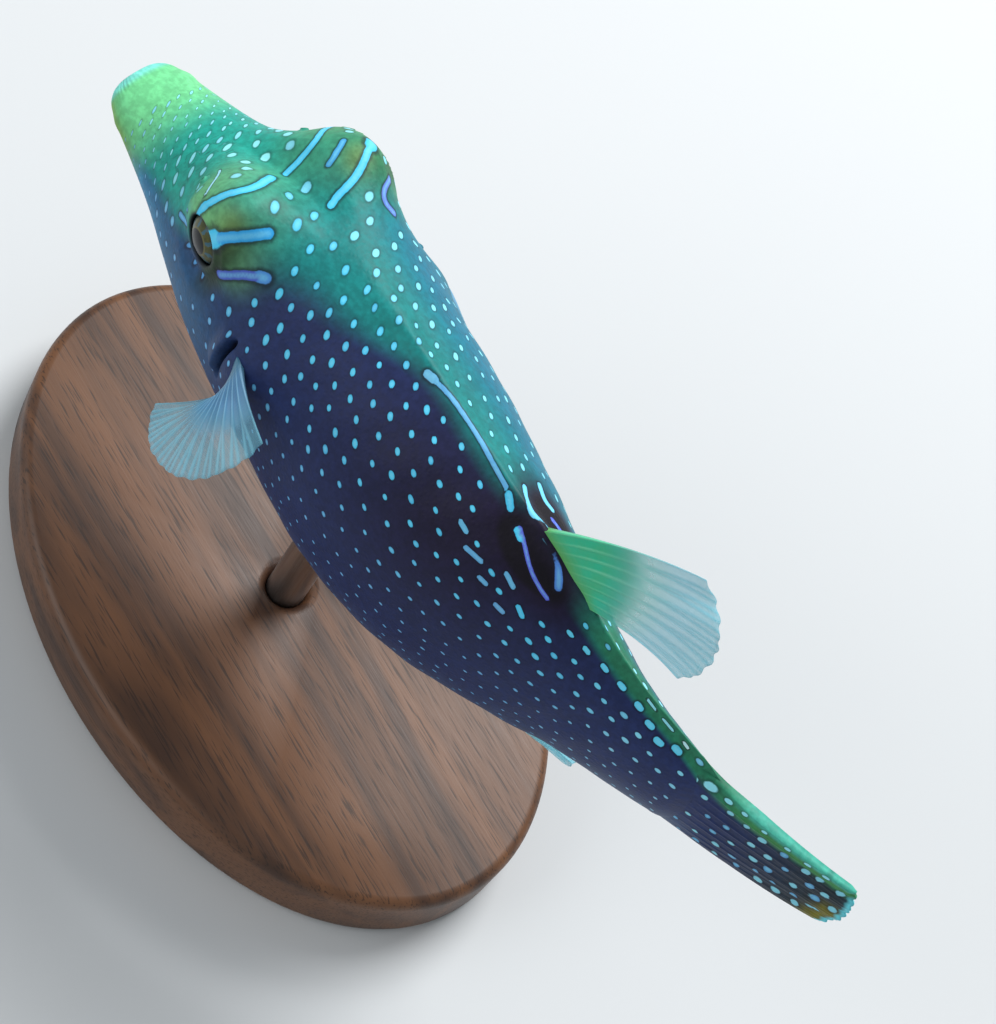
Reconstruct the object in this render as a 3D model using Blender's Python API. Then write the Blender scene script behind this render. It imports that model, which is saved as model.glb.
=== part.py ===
"""False-eye toby, a small pufferfish, as a life-size display model on a plain stand.

Lengths are worked out in millimetres and turned to metres when a mesh is written.
The fish looks along -X and its left side is at -Y. The origin is on the floor,
under the middle of the stand's base.
"""

import math

import bmesh
import bpy
import numpy as np

MM = 0.001

# Driving sizes of the fish, in millimetres
STANDARD_LENGTH = 80.0
AXIS_HEIGHT = 45.0
GAP = 0.3

# Half sizes along the body, both as shares of the standard length:
# (place from the snout's tip, height above, depth below or half width at it)
BACK = [(0.0, 0.000), (0.06, 0.025), (0.12, 0.058), (0.18, 0.098), (0.25, 0.138), (0.33, 0.158),
        (0.45, 0.168), (0.60, 0.171), (0.70, 0.164), (0.80, 0.138), (0.90, 0.104), (1.0, 0.081)]
BELLY = [(0.0, 0.062), (0.06, 0.080), (0.12, 0.102), (0.18, 0.122), (0.25, 0.145), (0.33, 0.168),
         (0.45, 0.195), (0.56, 0.217), (0.67, 0.213), (0.78, 0.168), (0.88, 0.117), (1.0, 0.083)]
FLANK = [(0.0, 0.051), (0.06, 0.066), (0.12, 0.082), (0.18, 0.103), (0.25, 0.124), (0.33, 0.135),
         (0.43, 0.137), (0.55, 0.134), (0.66, 0.114), (0.78, 0.078), (0.88, 0.048), (1.0, 0.026)]
UPPER_FULLNESS = 1.85
LOWER_FULLNESS = 2.0
KEEL_HEIGHT = 0.8
KEEL_SPREAD = 7.0

# Swimming bend: the head turns a little one way and the tail swings to the fish's right
TAIL_BEND_START = 0.476
TAIL_BEND_END = 1.25
TAIL_BEND = 30.0
HEAD_BEND_END = 0.4
HEAD_BEND = 6.3

# Places of the parts along the body, as shares of the standard length
HEAD_END = 0.358
TORSO_END = 0.800
EYE_PLACE = 0.238
EYE_MOUND_PLACE = 0.226
NOSTRIL_PLACE = 0.170
GILL_PLACE = 0.338
PECTORAL_TOP = 0.363
PECTORAL_FOOT = 0.389
DORSAL_START = 0.705
DORSAL_END = 0.795
ANAL_START = 0.735
ANAL_END = 0.810

# Head
EYE_RADIUS = 3.5
EYE_SIDE = 6.0
EYE_RISE = 6.8
EYE_LOOK_SIDE = 6.0
EYE_LOOK_AHEAD = 1.3
EYE_LOOK_RISE = 0.0
EYE_MOUND_SIDE = 5.2
EYE_MOUND_RISE = 8.4
EYE_MOUND_HEIGHT = 4.8
EYE_MOUND_LENGTH = 6.0
EYE_MOUND_SPREAD = 4.8
EYE_MOUND_TILT = 64.0
LID_RADIUS = 2.95
LID_THICKNESS = 0.4
ORBIT_RADIUS = 3.2
ORBIT_REACH = 5.6
ORBIT_SLOPE = 0.12
MOUTH_RISE = -2.48
MOUTH_HALF_WIDTH = 2.3
MOUTH_HALF_HEIGHT = 0.9
MOUTH_DEPTH = 2.4
# Lips: (place along the body, share of the body's own section there)
LIPS = [(-0.0195, 0.55), (-0.016, 0.69), (-0.008, 0.85), (0.003, 0.95), (0.015, 1.0)]
TOOTH_HALF_WIDTH = 1.6
TOOTH_HALF_HEIGHT = 0.22
TOOTH_RISE = 0.36
NOSTRIL_RADIUS = 0.45
NOSTRIL_HEIGHT = 0.5
NOSTRIL_HOLE = 0.2
NOSTRIL_ANGLE = 38.0
GILL_WIDTH = 0.6
GILL_DEPTH = 1.2
GILL_TOP = 157.0
GILL_FOOT = 183.0
GILL_FLAP_WIDTH = 1.5
GILL_FLAP_HEIGHT = 0.5
GILL_FLAP_LEAD = 0.011

# Fins
MEMBRANE_HALF = 0.25
RAY_RAISE = 0.16
# Each ray of the dorsal and anal fins curves back by this many degrees on its way to the edge
RAY_CURVE = 14.0
DORSAL_RAYS = 9
DORSAL_LENGTH = 16.6
DORSAL_ANGLES = (50.0, 24.0)
DORSAL_LEAN = 40.0
ANAL_RAYS = 9
ANAL_LENGTH = 12.4
ANAL_ANGLES = (58.0, 36.0)
ANAL_LEAN = 34.0
PECTORAL_RAYS = 14
PECTORAL_LENGTH = 9.0
PECTORAL_LIFT = 1.05
LEFT_PECTORAL_ANGLES = (158.0, 174.0)
RIGHT_PECTORAL_ANGLES = (14.0, -3.0)
FOOT_HEIGHT = 0.9
FOOT_LENGTH = 2.8
FOOT_SPREAD = 3.8
FOOT_RISE = 2.4
# Directions of the upper, middle and lower rays: the left fin is spread, the right one drawn back
LEFT_PECTORAL = [(0.98, -0.16, -0.06), (0.50, -0.92, -0.42), (-0.50, -0.82, -0.24)]
RIGHT_PECTORAL = [(0.82, 0.06, -0.57), (0.42, 0.26, -0.87), (-0.30, 0.40, -0.87)]
CAUDAL_RAYS = 11
CAUDAL_LENGTH = 0.235
CAUDAL_TOP_INSET = 1.0
CAUDAL_FOOT_INSET = 0.25
CAUDAL_NARROWING = 0.30
CAUDAL_CUP = 0.5
CAUDAL_EDGE_FOLD = 0.30

# Stand
BASE_LENGTH = 70.0
BASE_WIDTH = 46.0
BASE_HEIGHT = 8.0
BASE_EDGE = 1.2
ROD_RADIUS = 2.0
SOCKET_DEPTH = 3.0

# Fineness of the meshes
AROUND = 44
HEAD_RINGS = [0.028, 0.042, 0.06, 0.09, 0.12, 0.148, 0.172, 0.192, 0.21, 0.226, 0.24, 0.254,
              0.27, 0.288, 0.306, 0.324, 0.341]


def soft_curve(points, s):
    """Smooth curve through (s, value) points."""
    p = np.array(points, float)
    slopes = np.gradient(p[:, 1], p[:, 0])
    s = np.clip(s, p[0, 0], p[-1, 0])
    i = np.clip(np.searchsorted(p[:, 0], s) - 1, 0, len(p) - 2)
    span = p[i + 1, 0] - p[i, 0]
    t = (s - p[i, 0]) / span
    rise = t * t * (3 - 2 * t)
    start_slope = t * (1 - t) ** 2 * span * slopes[i]
    end_slope = t * t * (t - 1) * span * slopes[i + 1]
    return (1 - rise) * p[i, 1] + rise * p[i + 1, 1] + start_slope + end_slope


def bend_angle(s):
    """Direction of the body's middle line at s, in radians from the X axis."""
    tail = np.clip((s - TAIL_BEND_START) / (TAIL_BEND_END - TAIL_BEND_START), 0, None) ** 1.3
    head = np.clip((HEAD_BEND_END - s) / HEAD_BEND_END, 0, 1) ** 1.2
    return np.radians(TAIL_BEND * tail + HEAD_BEND * head)


def middle_line():
    """The bent middle line as arrays of s, x and y, with x = y = 0 half way along the body."""
    s = np.linspace(-0.1, 1.4, 601)
    angle = bend_angle(s)
    step = (s[1] - s[0]) * STANDARD_LENGTH
    x = np.concatenate([[0.0], np.cumsum(np.cos((angle[1:] + angle[:-1]) / 2))]) * step
    y = np.concatenate([[0.0], np.cumsum(np.sin((angle[1:] + angle[:-1]) / 2))]) * step
    return s, x - np.interp(0.5, s, x), y - np.interp(0.45, s, y)


LINE_S, LINE_X, LINE_Y = middle_line()


def place(s, side, rise):
    """World point at s along the body, side to the fish's right and rise above its axis."""
    angle = bend_angle(s)
    x = np.interp(s, LINE_S, LINE_X) - math.sin(angle) * side
    y = np.interp(s, LINE_S, LINE_Y) + math.cos(angle) * side
    return np.array([x, y, rise + AXIS_HEIGHT])


def signed_power(value, fullness):
    return math.copysign(abs(value) ** (2.0 / fullness), value)


def skin(s, degrees, grow=0.0):
    """Side and rise of the skin at s; 0 degrees is the fish's right and 90 its back."""
    phi = math.radians(degrees)
    half = float(soft_curve(FLANK, s)) * STANDARD_LENGTH
    keel = KEEL_HEIGHT * min(1.0, max(0.0, (s - 0.30) / 0.15))
    back = float(soft_curve(BACK, s)) * STANDARD_LENGTH - keel
    belly = float(soft_curve(BELLY, s)) * STANDARD_LENGTH
    middle = (back - belly) / 2
    height = (back + belly) / 2
    fullness = UPPER_FULLNESS if math.sin(phi) > 0 else LOWER_FULLNESS
    side = (half + grow) * signed_power(math.cos(phi), fullness)
    rise = middle + (height + grow) * signed_power(math.sin(phi), fullness)
    from_keel = (degrees - 90.0 + 180.0) % 360.0 - 180.0
    rise += keel * math.exp(-((from_keel / KEEL_SPREAD) ** 2))
    return side, rise


def swellings(s, side, rise):
    """Adds the mound that carries each eye and the fleshy foot of each pectoral fin."""
    way = math.copysign(1.0, side)
    along = (s - EYE_MOUND_PLACE) * STANDARD_LENGTH
    far = (abs(side) - EYE_MOUND_SIDE) ** 2 + (rise - EYE_MOUND_RISE) ** 2
    push = EYE_MOUND_HEIGHT * math.exp(-(along / EYE_MOUND_LENGTH) ** 2 - far / EYE_MOUND_SPREAD ** 2)
    tilt = math.radians(EYE_MOUND_TILT)
    along = (s - (PECTORAL_TOP + PECTORAL_FOOT) / 2) * STANDARD_LENGTH
    foot = FOOT_HEIGHT * math.exp(-(along / FOOT_LENGTH) ** 2 - ((rise - FOOT_RISE) / FOOT_SPREAD) ** 2)
    out = min(1.0, abs(side) / 2.0)
    return side + way * (push * math.cos(tilt) * out + foot), rise + push * math.sin(tilt) * out


def eye_centre(way):
    return place(EYE_PLACE, way * EYE_SIDE, EYE_RISE)


def eye_axis(way):
    """Direction in which the eye looks: outwards and a little forward."""
    ahead = EYE_PLACE - EYE_LOOK_AHEAD / STANDARD_LENGTH
    front = place(ahead, way * (EYE_SIDE + EYE_LOOK_SIDE), EYE_RISE + EYE_LOOK_RISE)
    axis = front - eye_centre(way)
    return axis / np.linalg.norm(axis)


LID_DISTANCE = math.sqrt((EYE_RADIUS + GAP) ** 2 - (LID_RADIUS - LID_THICKNESS) ** 2)
EYES = [(eye_centre(way), eye_axis(way)) for way in (-1.0, 1.0)]


def drawn_to_lids(point):
    """Raises the skin round each eye to a low dome that ends at the lids."""
    for centre, axis in EYES:
        offset = point - centre
        along = float(offset @ axis)
        radius = float(np.linalg.norm(offset - axis * along))
        if along < -2.0 or radius > ORBIT_REACH:
            continue
        share = min(1.0, (ORBIT_REACH - radius) / (ORBIT_REACH - ORBIT_RADIUS))
        share = share * share * (3.0 - 2.0 * share) * min(1.0, (along + 2.0) / 2.0)
        dome = LID_DISTANCE - ORBIT_SLOPE * max(0.0, radius - ORBIT_RADIUS) ** 2
        point = point + axis * (dome - along) * share
    return point


def body_point(s, degrees, grow=0.0):
    side, rise = skin(s, degrees, grow)
    side, rise = swellings(s, side, rise)
    return drawn_to_lids(place(s, side, rise))


def body_normal(s, degrees):
    """Outward direction of the skin."""
    along = body_point(s + 0.004, degrees) - body_point(s - 0.004, degrees)
    around = body_point(s, degrees + 1.0) - body_point(s, degrees - 1.0)
    normal = np.cross(around, along)
    return normal / np.linalg.norm(normal)


def body_ring(s, grow=0.0):
    return [body_point(s, 360.0 * i / AROUND, grow) for i in range(AROUND)]


def oval_ring(s, half_width, half_height, rise=MOUTH_RISE):
    """Plain oval ring across the body's axis, for the mouth."""
    ring = []
    for i in range(AROUND):
        phi = 2 * math.pi * i / AROUND
        side = half_width * signed_power(math.cos(phi), 2.2)
        ring.append(place(s, side, rise + half_height * signed_power(math.sin(phi), 2.2)))
    return ring


def shade(color, roughness, metallic=0.0):
    """Principled material from an sRGB colour."""
    linear = []
    for i in (1, 3, 5):
        share = int(color[i:i + 2], 16) / 255
        linear.append(share / 12.92 if share <= 0.04045 else ((share + 0.055) / 1.055) ** 2.4)
    material = bpy.data.materials.new("finish")
    material.use_nodes = True
    principled = material.node_tree.nodes["Principled BSDF"]
    principled.inputs["Base Color"].default_value = (*linear, 1.0)
    principled.inputs["Roughness"].default_value = roughness
    principled.inputs["Metallic"].default_value = metallic
    return material


def make_object(name, points, faces, smooth_angle=40.0):
    """Closed mesh object from points in millimetres."""
    mesh = bpy.data.meshes.new(name)
    mesh.from_pydata([tuple(np.asarray(p) * MM) for p in points], [], faces)
    bm = bmesh.new()
    bm.from_mesh(mesh)
    bmesh.ops.recalc_face_normals(bm, faces=bm.faces)
    bm.to_mesh(mesh)
    bm.free()
    mesh.shade_smooth()
    mesh.set_sharp_from_angle(angle=math.radians(smooth_angle))
    made = bpy.data.objects.new(name, mesh)
    bpy.context.scene.collection.objects.link(made)
    return made


def loft(name, rings, cap_points=(None, None)):
    """Skin over equal rings, closed by a fan of triangles at each end."""
    count = len(rings[0])
    points = [p for ring in rings for p in ring]
    faces = []
    for r in range(len(rings) - 1):
        for i in range(count):
            j = (i + 1) % count
            faces.append((r * count + i, r * count + j, (r + 1) * count + j, (r + 1) * count + i))
    for end, start in ((0, 0), (1, (len(rings) - 1) * count)):
        tip = cap_points[end]
        if tip is None:
            tip = np.mean(rings[0 if end == 0 else -1], axis=0)
        points.append(tip)
        for i in range(count):
            faces.append((start + i, start + (i + 1) % count, len(points) - 1))
    return make_object(name, points, faces)


def apply_boolean(target, others, operation):
    """Joins or cuts target with the other objects, then removes them."""
    group = bpy.data.collections.new("joined")
    bpy.context.scene.collection.children.link(group)
    for other in others:
        bpy.context.scene.collection.objects.unlink(other)
        group.objects.link(other)
    step = target.modifiers.new("join", "BOOLEAN")
    step.operation = operation
    step.operand_type = "COLLECTION"
    step.collection = group
    step.solver = "EXACT"
    graph = bpy.context.evaluated_depsgraph_get()
    result = bpy.data.meshes.new_from_object(target.evaluated_get(graph))
    target.modifiers.clear()
    target.data = result
    for other in others:
        bpy.data.objects.remove(other)
    bpy.data.collections.remove(group)
    keep_largest(target)


def keep_largest(target):
    """Drops every loose scrap but the widest connected surface."""
    bm = bmesh.new()
    bm.from_mesh(target.data)
    left = set(bm.faces)
    shells = []
    while left:
        queue = [left.pop()]
        shell = list(queue)
        while queue:
            for edge in queue.pop().edges:
                for face in edge.link_faces:
                    if face in left:
                        left.remove(face)
                        shell.append(face)
                        queue.append(face)
        shells.append(shell)
    shells.sort(key=lambda faces: sum(face.calc_area() for face in faces))
    for shell in shells[:-1]:
        bmesh.ops.delete(bm, geom=shell, context="FACES")
    bmesh.ops.remove_doubles(bm, verts=bm.verts, dist=0.000002)
    bmesh.ops.dissolve_degenerate(bm, dist=0.000001, edges=bm.edges)
    bmesh.ops.delete(bm, geom=[v for v in bm.verts if not v.link_faces], context="VERTS")
    bm.to_mesh(target.data)
    bm.free()


def ball(name, centre, radius, segments, rings):
    bm = bmesh.new()
    bmesh.ops.create_uvsphere(bm, u_segments=segments, v_segments=rings, radius=radius)
    points = [np.array(v.co) + centre for v in bm.verts]
    faces = [tuple(v.index for v in face.verts) for face in bm.faces]
    bm.free()
    return make_object(name, points, faces)


def frame_around(axis):
    """Two directions square to an axis."""
    axis = axis / np.linalg.norm(axis)
    across = np.cross(axis, (0.0, 0.0, 1.0))
    across /= np.linalg.norm(across)
    return axis, across, np.cross(across, axis)


def turned(name, centre, axis, outline, segments):
    """Solid turned round an axis from an outline of (distance along, radius) pairs."""
    axis, across, upward = frame_around(axis)
    rings = []
    for along, radius in outline:
        ring = []
        for i in range(segments):
            a = 2 * math.pi * i / segments
            ring.append(centre + axis * along + (across * math.cos(a) + upward * math.sin(a)) * radius)
        rings.append(ring)
    return loft(name, rings)


def hoop(name, centre, axis, radius, thickness):
    """Ring of round section, square to an axis."""
    axis, across, upward = frame_around(axis)
    points, faces = [], []
    big, small = 26, 6
    for i in range(big):
        a = 2 * math.pi * i / big
        out = across * math.cos(a) + upward * math.sin(a)
        for j in range(small):
            b = 2 * math.pi * j / small
            points.append(centre + out * (radius + thickness * math.cos(b)) + axis * thickness * math.sin(b))
    for i in range(big):
        for j in range(small):
            k, m = (i + 1) % big, (j + 1) % small
            faces.append((i * small + j, k * small + j, k * small + m, i * small + m))
    return make_object(name, points, faces)


def strip(name, way, s_of, width, low, high, start, end, steps=9):
    """Curved bar lying on the flank, from start to end degrees round the body."""
    rings = []
    for i in range(steps):
        t = i / (steps - 1)
        around = start + (end - start) * t
        degrees = around if way < 0 else 180.0 - around
        s = s_of(t)
        taper = 0.35 + 0.65 * math.sin(math.pi * t) ** 0.5
        point = body_point(s, degrees)
        normal = body_normal(s, degrees)
        along = body_point(s + 0.01, degrees) - body_point(s - 0.01, degrees)
        along /= np.linalg.norm(along)
        half = width / 2 * taper
        ring = [point - along * half + normal * low, point - along * half * 0.8 + normal * high * taper,
                point + along * half * 0.8 + normal * high * taper, point + along * half + normal * low]
        rings.append(ring)
    return loft(name, rings)


def gill_line(t):
    """Place of the gill slit along the body: a shallow arc, bowed forward in the middle."""
    return GILL_PLACE + 0.016 * (t - 0.5) ** 2 + 0.004 * t


def make_head():
    floor = MOUTH_DEPTH / STANDARD_LENGTH
    rings = [oval_ring(floor, MOUTH_HALF_WIDTH * 0.95, MOUTH_HALF_HEIGHT * 0.95),
             oval_ring(0.003, MOUTH_HALF_WIDTH, MOUTH_HALF_HEIGHT),
             oval_ring(-0.013, MOUTH_HALF_WIDTH, MOUTH_HALF_HEIGHT),
             oval_ring(-0.0205, MOUTH_HALF_WIDTH * 0.86, MOUTH_HALF_HEIGHT * 0.82)]
    for s, share in LIPS:
        half, back, belly = [float(soft_curve(line, s)) * STANDARD_LENGTH for line in (FLANK, BACK, BELLY)]
        rings.append(oval_ring(s, half * share, (back + belly) / 2 * share, (back - belly) / 2))
    for s in HEAD_RINGS:
        rings.append(body_ring(s))
    rings.append(body_ring(HEAD_END - GAP / 2 / STANDARD_LENGTH))
    head = loft("head", rings)
    additions, cuts = [], []
    for way in (-1.0, 1.0):
        axis = eye_axis(way)
        lid_centre = eye_centre(way) + axis * LID_DISTANCE
        additions.append(hoop("lid", lid_centre, axis, LID_RADIUS, LID_THICKNESS))
        cuts.append(ball("socket", eye_centre(way), EYE_RADIUS + GAP, 20, 14))
        degrees = 90.0 - way * NOSTRIL_ANGLE
        root = body_point(NOSTRIL_PLACE, degrees)
        normal = body_normal(NOSTRIL_PLACE, degrees)
        outline = [(-0.8, NOSTRIL_RADIUS), (NOSTRIL_HEIGHT * 0.8, NOSTRIL_RADIUS * 0.85),
                   (NOSTRIL_HEIGHT, NOSTRIL_RADIUS * 0.6), (NOSTRIL_HEIGHT, NOSTRIL_HOLE),
                   (NOSTRIL_HEIGHT * 0.2, NOSTRIL_HOLE * 0.8)]
        additions.append(turned("nostril", root, normal, outline, 10))
        additions.append(strip("gill_flap", way, lambda t: gill_line(t) - GILL_FLAP_LEAD, GILL_FLAP_WIDTH,
                               -0.8, GILL_FLAP_HEIGHT, GILL_TOP - 2.0, GILL_FOOT + 2.0))
        cuts.append(strip("gill_slit", way, lambda t: gill_line(t) + 0.003, GILL_WIDTH,
                          -GILL_DEPTH, 1.5, GILL_TOP, GILL_FOOT))
    apply_boolean(head, additions, "UNION")
    apply_boolean(head, cuts, "DIFFERENCE")
    head.data.materials.clear()
    head.data.materials.append(shade("#5E8F4E", 0.45))
    return head


def make_tooth(name, way):
    """Fused tooth plate just inside the lips; way is 1 for the upper and -1 for the lower."""
    rise = MOUTH_RISE + way * TOOTH_RISE
    back = (MOUTH_DEPTH - GAP) / STANDARD_LENGTH
    rings = []
    for s, share in ((back, 0.85), (0.004, 1.0), (-0.009, 1.0), (-0.013, 0.7)):
        ring = []
        for i in range(14):
            phi = 2 * math.pi * i / 14
            side = TOOTH_HALF_WIDTH * share * math.cos(phi)
            bow = 0.10 * (1 - (side / TOOTH_HALF_WIDTH) ** 2)
            ring.append(place(s, side, rise + way * (bow - 0.1) + TOOTH_HALF_HEIGHT * share * math.sin(phi)))
        rings.append(ring)
    tooth = loft(name, rings)
    tooth.data.materials.append(shade("#E8E2CC", 0.35))
    return tooth


def make_eye(name, way):
    """Eyeball with its poles on the line of sight."""
    outline = [(EYE_RADIUS * math.cos(a), EYE_RADIUS * math.sin(a))
               for a in np.radians(np.linspace(172.0, 8.0, 13))]
    eye = turned(name, eye_centre(way), eye_axis(way), outline, 22)
    eye.data.materials.append(shade("#2E5A50", 0.08))
    return eye


def make_torso():
    start = HEAD_END + GAP / 2 / STANDARD_LENGTH
    end = TORSO_END - GAP / 2 / STANDARD_LENGTH
    inner = np.linspace(start, end, 18)
    torso = loft("torso", [body_ring(s) for s in inner])
    torso.data.materials.append(shade("#2A3A4A", 0.45))
    return torso


def make_tail():
    start = TORSO_END + GAP / 2 / STANDARD_LENGTH
    end = 1.0 - GAP / 2 / STANDARD_LENGTH
    tail = loft("tail_peduncle", [body_ring(s) for s in np.linspace(start, end, 9)])
    tail.data.materials.append(shade("#2C4038", 0.45))
    return tail


def vane(name, surface, half_thickness, rays, rows, color):
    """Closed fin: a sheet over (t, v) with its rays as ridges raised on both faces.

    t runs from the first ray to the last and v from the root to the free edge.
    """
    columns = []
    for i in range(rays):
        columns.append((i / (rays - 1), True))
        if i < rays - 1:
            columns.append(((i + 0.36) / (rays - 1), False))
            columns.append(((i + 0.64) / (rays - 1), False))
    grid, normals = [], []
    for t, on_ray in columns:
        line, sides = [], []
        for r in range(rows + 1):
            v = r / rows
            if not on_ray:
                v *= 0.975
            low, high = max(0.0, t - 0.01), min(1.0, t + 0.01)
            across = surface(high, v) - surface(low, v)
            upward = surface(t, min(1.0, v + 0.02)) - surface(t, max(0.0, v - 0.02))
            normal = np.cross(across, upward)
            normal /= np.linalg.norm(normal)
            half = half_thickness(t, v) + (RAY_RAISE * (1.1 - v) if on_ray else 0.0)
            line.append(surface(t, v))
            sides.append(normal * half)
        grid.append(line)
        normals.append(sides)
    wide, tall = len(columns), rows + 1
    points = []
    for way in (1.0, -1.0):
        for c in range(wide):
            for r in range(tall):
                points.append(grid[c][r] + normals[c][r] * way)
    far = wide * tall
    faces = []
    for c in range(wide - 1):
        for r in range(rows):
            a, b = c * tall + r, (c + 1) * tall + r
            for start in (0, far):
                faces.append((start + a, start + b, start + b + 1))
                faces.append((start + a, start + b + 1, start + a + 1))
    for c in range(wide - 1):
        for r in (0, rows):
            a, b = c * tall + r, (c + 1) * tall + r
            faces.append((a, b, far + b, far + a))
    for r in range(rows):
        for c in (0, wide - 1):
            a = c * tall + r
            faces.append((a, a + 1, far + a + 1, far + a))
    fin = make_object(name, points, faces)
    fin.data.materials.append(shade(color, 0.4))
    return fin


def median_fin(name, start, end, up, length, rays, angles, lean, color):
    """Dorsal fin (up is 1) or anal fin (up is -1): rays fan from the middle line."""
    def surface(t, v):
        s = start + (end - start) * t
        edge = body_point(s, 90.0 * up)
        forward = place(s + 0.01, 0.0, 0.0) - place(s, 0.0, 0.0)
        forward /= np.linalg.norm(forward)
        right = np.array([-forward[1], forward[0], 0.0])
        angle = math.radians(angles[0] + (angles[1] - angles[0]) * t - RAY_CURVE * v)
        tilt = math.radians(lean) * (0.4 + 0.6 * v)
        rise = np.array([0.0, 0.0, up * math.cos(tilt)]) + right * math.sin(tilt)
        reach = length * (1.0 - 0.10 * (1 - t) ** 3 - 0.42 * t ** 2.2)
        ray = forward * math.cos(angle) + rise * math.sin(angle)
        return edge + np.array([0.0, 0.0, up * (GAP + 0.1)]) + ray * reach * v

    def half_thickness(t, v):
        return MEMBRANE_HALF + 0.45 * (1 - v) ** 3

    return vane(name, surface, half_thickness, rays, 7, color)


def pectoral_fin(name, angles, directions):
    """Fan of rays from the fleshy foot behind the gill slit."""
    upper, middle, lower = [np.array(direction) for direction in directions]

    def surface(t, v):
        s = PECTORAL_TOP + (PECTORAL_FOOT - PECTORAL_TOP) * t
        degrees = angles[0] + (angles[1] - angles[0]) * t
        root = body_point(s, degrees) + body_normal(s, degrees) * PECTORAL_LIFT
        ray = upper * (1 - t) ** 2 + middle * 2 * t * (1 - t) + lower * t * t
        ray /= np.linalg.norm(ray)
        reach = PECTORAL_LENGTH * (0.92 + 0.08 * math.sin(math.pi * t) - 0.24 * t * t)
        curl = np.array([0.10, 0.0, -0.12]) * v * v * reach * math.sin(math.pi * t)
        return root + ray * reach * v + curl

    def half_thickness(t, v):
        return MEMBRANE_HALF + 0.22 * (1 - v) ** 3

    return vane(name, surface, half_thickness, PECTORAL_RAYS, 7, "#7FA8A0")


def make_caudal():
    """Folded tail fin that carries the body's swing on to its tip."""
    root = 1.0 + GAP / 2 / STANDARD_LENGTH
    top = float(soft_curve(BACK, 1.0)) * STANDARD_LENGTH - CAUDAL_TOP_INSET
    foot = float(soft_curve(BELLY, 1.0)) * STANDARD_LENGTH - CAUDAL_FOOT_INSET

    def surface(t, v):
        reach = CAUDAL_LENGTH * (1.0 - 0.05 * (2 * t - 1) ** 2)
        rise = (top - (top + foot) * t) * (1.0 - CAUDAL_NARROWING * v)
        side = -CAUDAL_CUP * math.sin(math.pi * t) * v
        return place(root + reach * v, side, rise)

    def half_thickness(t, v):
        round_root = math.sqrt(max(0.0, 1 - (2 * t - 1) ** 2)) * 1.7
        folded_edge = CAUDAL_EDGE_FOLD * math.exp(-((t - 0.04) / 0.10) ** 2)
        return MEMBRANE_HALF + round_root * (1 - v) ** 2 + 0.18 * (1 - v) + folded_edge

    return vane("caudal_fin", surface, half_thickness, CAUDAL_RAYS, 9, "#49512E")


def make_stand():
    """Oval wooden base with a steel rod cut to the curve of the belly."""
    bm = bmesh.new()
    bmesh.ops.create_cone(bm, cap_ends=True, segments=56, radius1=0.5, radius2=0.5, depth=1.0)
    points = [np.array(v.co) * (BASE_LENGTH, BASE_WIDTH, BASE_HEIGHT) for v in bm.verts]
    points = [p + (0.0, 0.0, BASE_HEIGHT / 2) for p in points]
    faces = [tuple(v.index for v in face.verts) for face in bm.faces]
    bm.free()
    base = make_object("stand_base", points, faces)
    edge = base.modifiers.new("edge", "BEVEL")
    edge.width = BASE_EDGE * MM
    edge.segments = 2
    edge.limit_method = "ANGLE"
    edge.angle_limit = math.radians(60.0)
    upright = np.array([0.0, 0.0, 1.0])
    rod_foot = BASE_HEIGHT - SOCKET_DEPTH
    socket = upright_rod("socket", rod_foot - GAP, BASE_HEIGHT + 4.0, ROD_RADIUS + GAP)
    apply_boolean(base, [socket], "DIFFERENCE")
    base.data.materials.clear()
    base.data.materials.append(shade("#4A3021", 0.5))

    rod = upright_rod("stand_rod", rod_foot, AXIS_HEIGHT - 10.0, ROD_RADIUS)
    body = loft("body_space", [body_ring(s, GAP) for s in np.linspace(0.42, 0.58, 13)])
    apply_boolean(rod, [body], "DIFFERENCE")
    rod.data.materials.clear()
    rod.data.materials.append(shade("#B4B6B8", 0.3, 1.0))
    return base, rod


def upright_rod(name, low, high, radius):
    rings = []
    for z in (low, high):
        rings.append([np.array([radius * math.cos(a), radius * math.sin(a), z])
                      for a in np.linspace(0.0, 2 * math.pi, 29)[:-1]])
    return loft(name, rings)


def main():
    for old in list(bpy.data.objects):
        bpy.data.objects.remove(old)
    make_head()
    make_tooth("beak_upper", 1.0)
    make_tooth("beak_lower", -1.0)
    make_eye("eye_left", -1.0)
    make_eye("eye_right", 1.0)
    make_torso()
    make_tail()
    make_caudal()
    median_fin("dorsal_fin", DORSAL_START, DORSAL_END, 1.0, DORSAL_LENGTH, DORSAL_RAYS, DORSAL_ANGLES,
               DORSAL_LEAN, "#6FA67A")
    median_fin("anal_fin", ANAL_START, ANAL_END, -1.0, ANAL_LENGTH, ANAL_RAYS, ANAL_ANGLES,
               ANAL_LEAN, "#6FA67A")
    pectoral_fin("pectoral_fin_left", LEFT_PECTORAL_ANGLES, LEFT_PECTORAL)
    pectoral_fin("pectoral_fin_right", RIGHT_PECTORAL_ANGLES, RIGHT_PECTORAL)
    make_stand()


main()
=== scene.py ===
import math

import bmesh
import bpy
import numpy as np
from mathutils import Matrix, Vector
from mathutils.kdtree import KDTree


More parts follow.
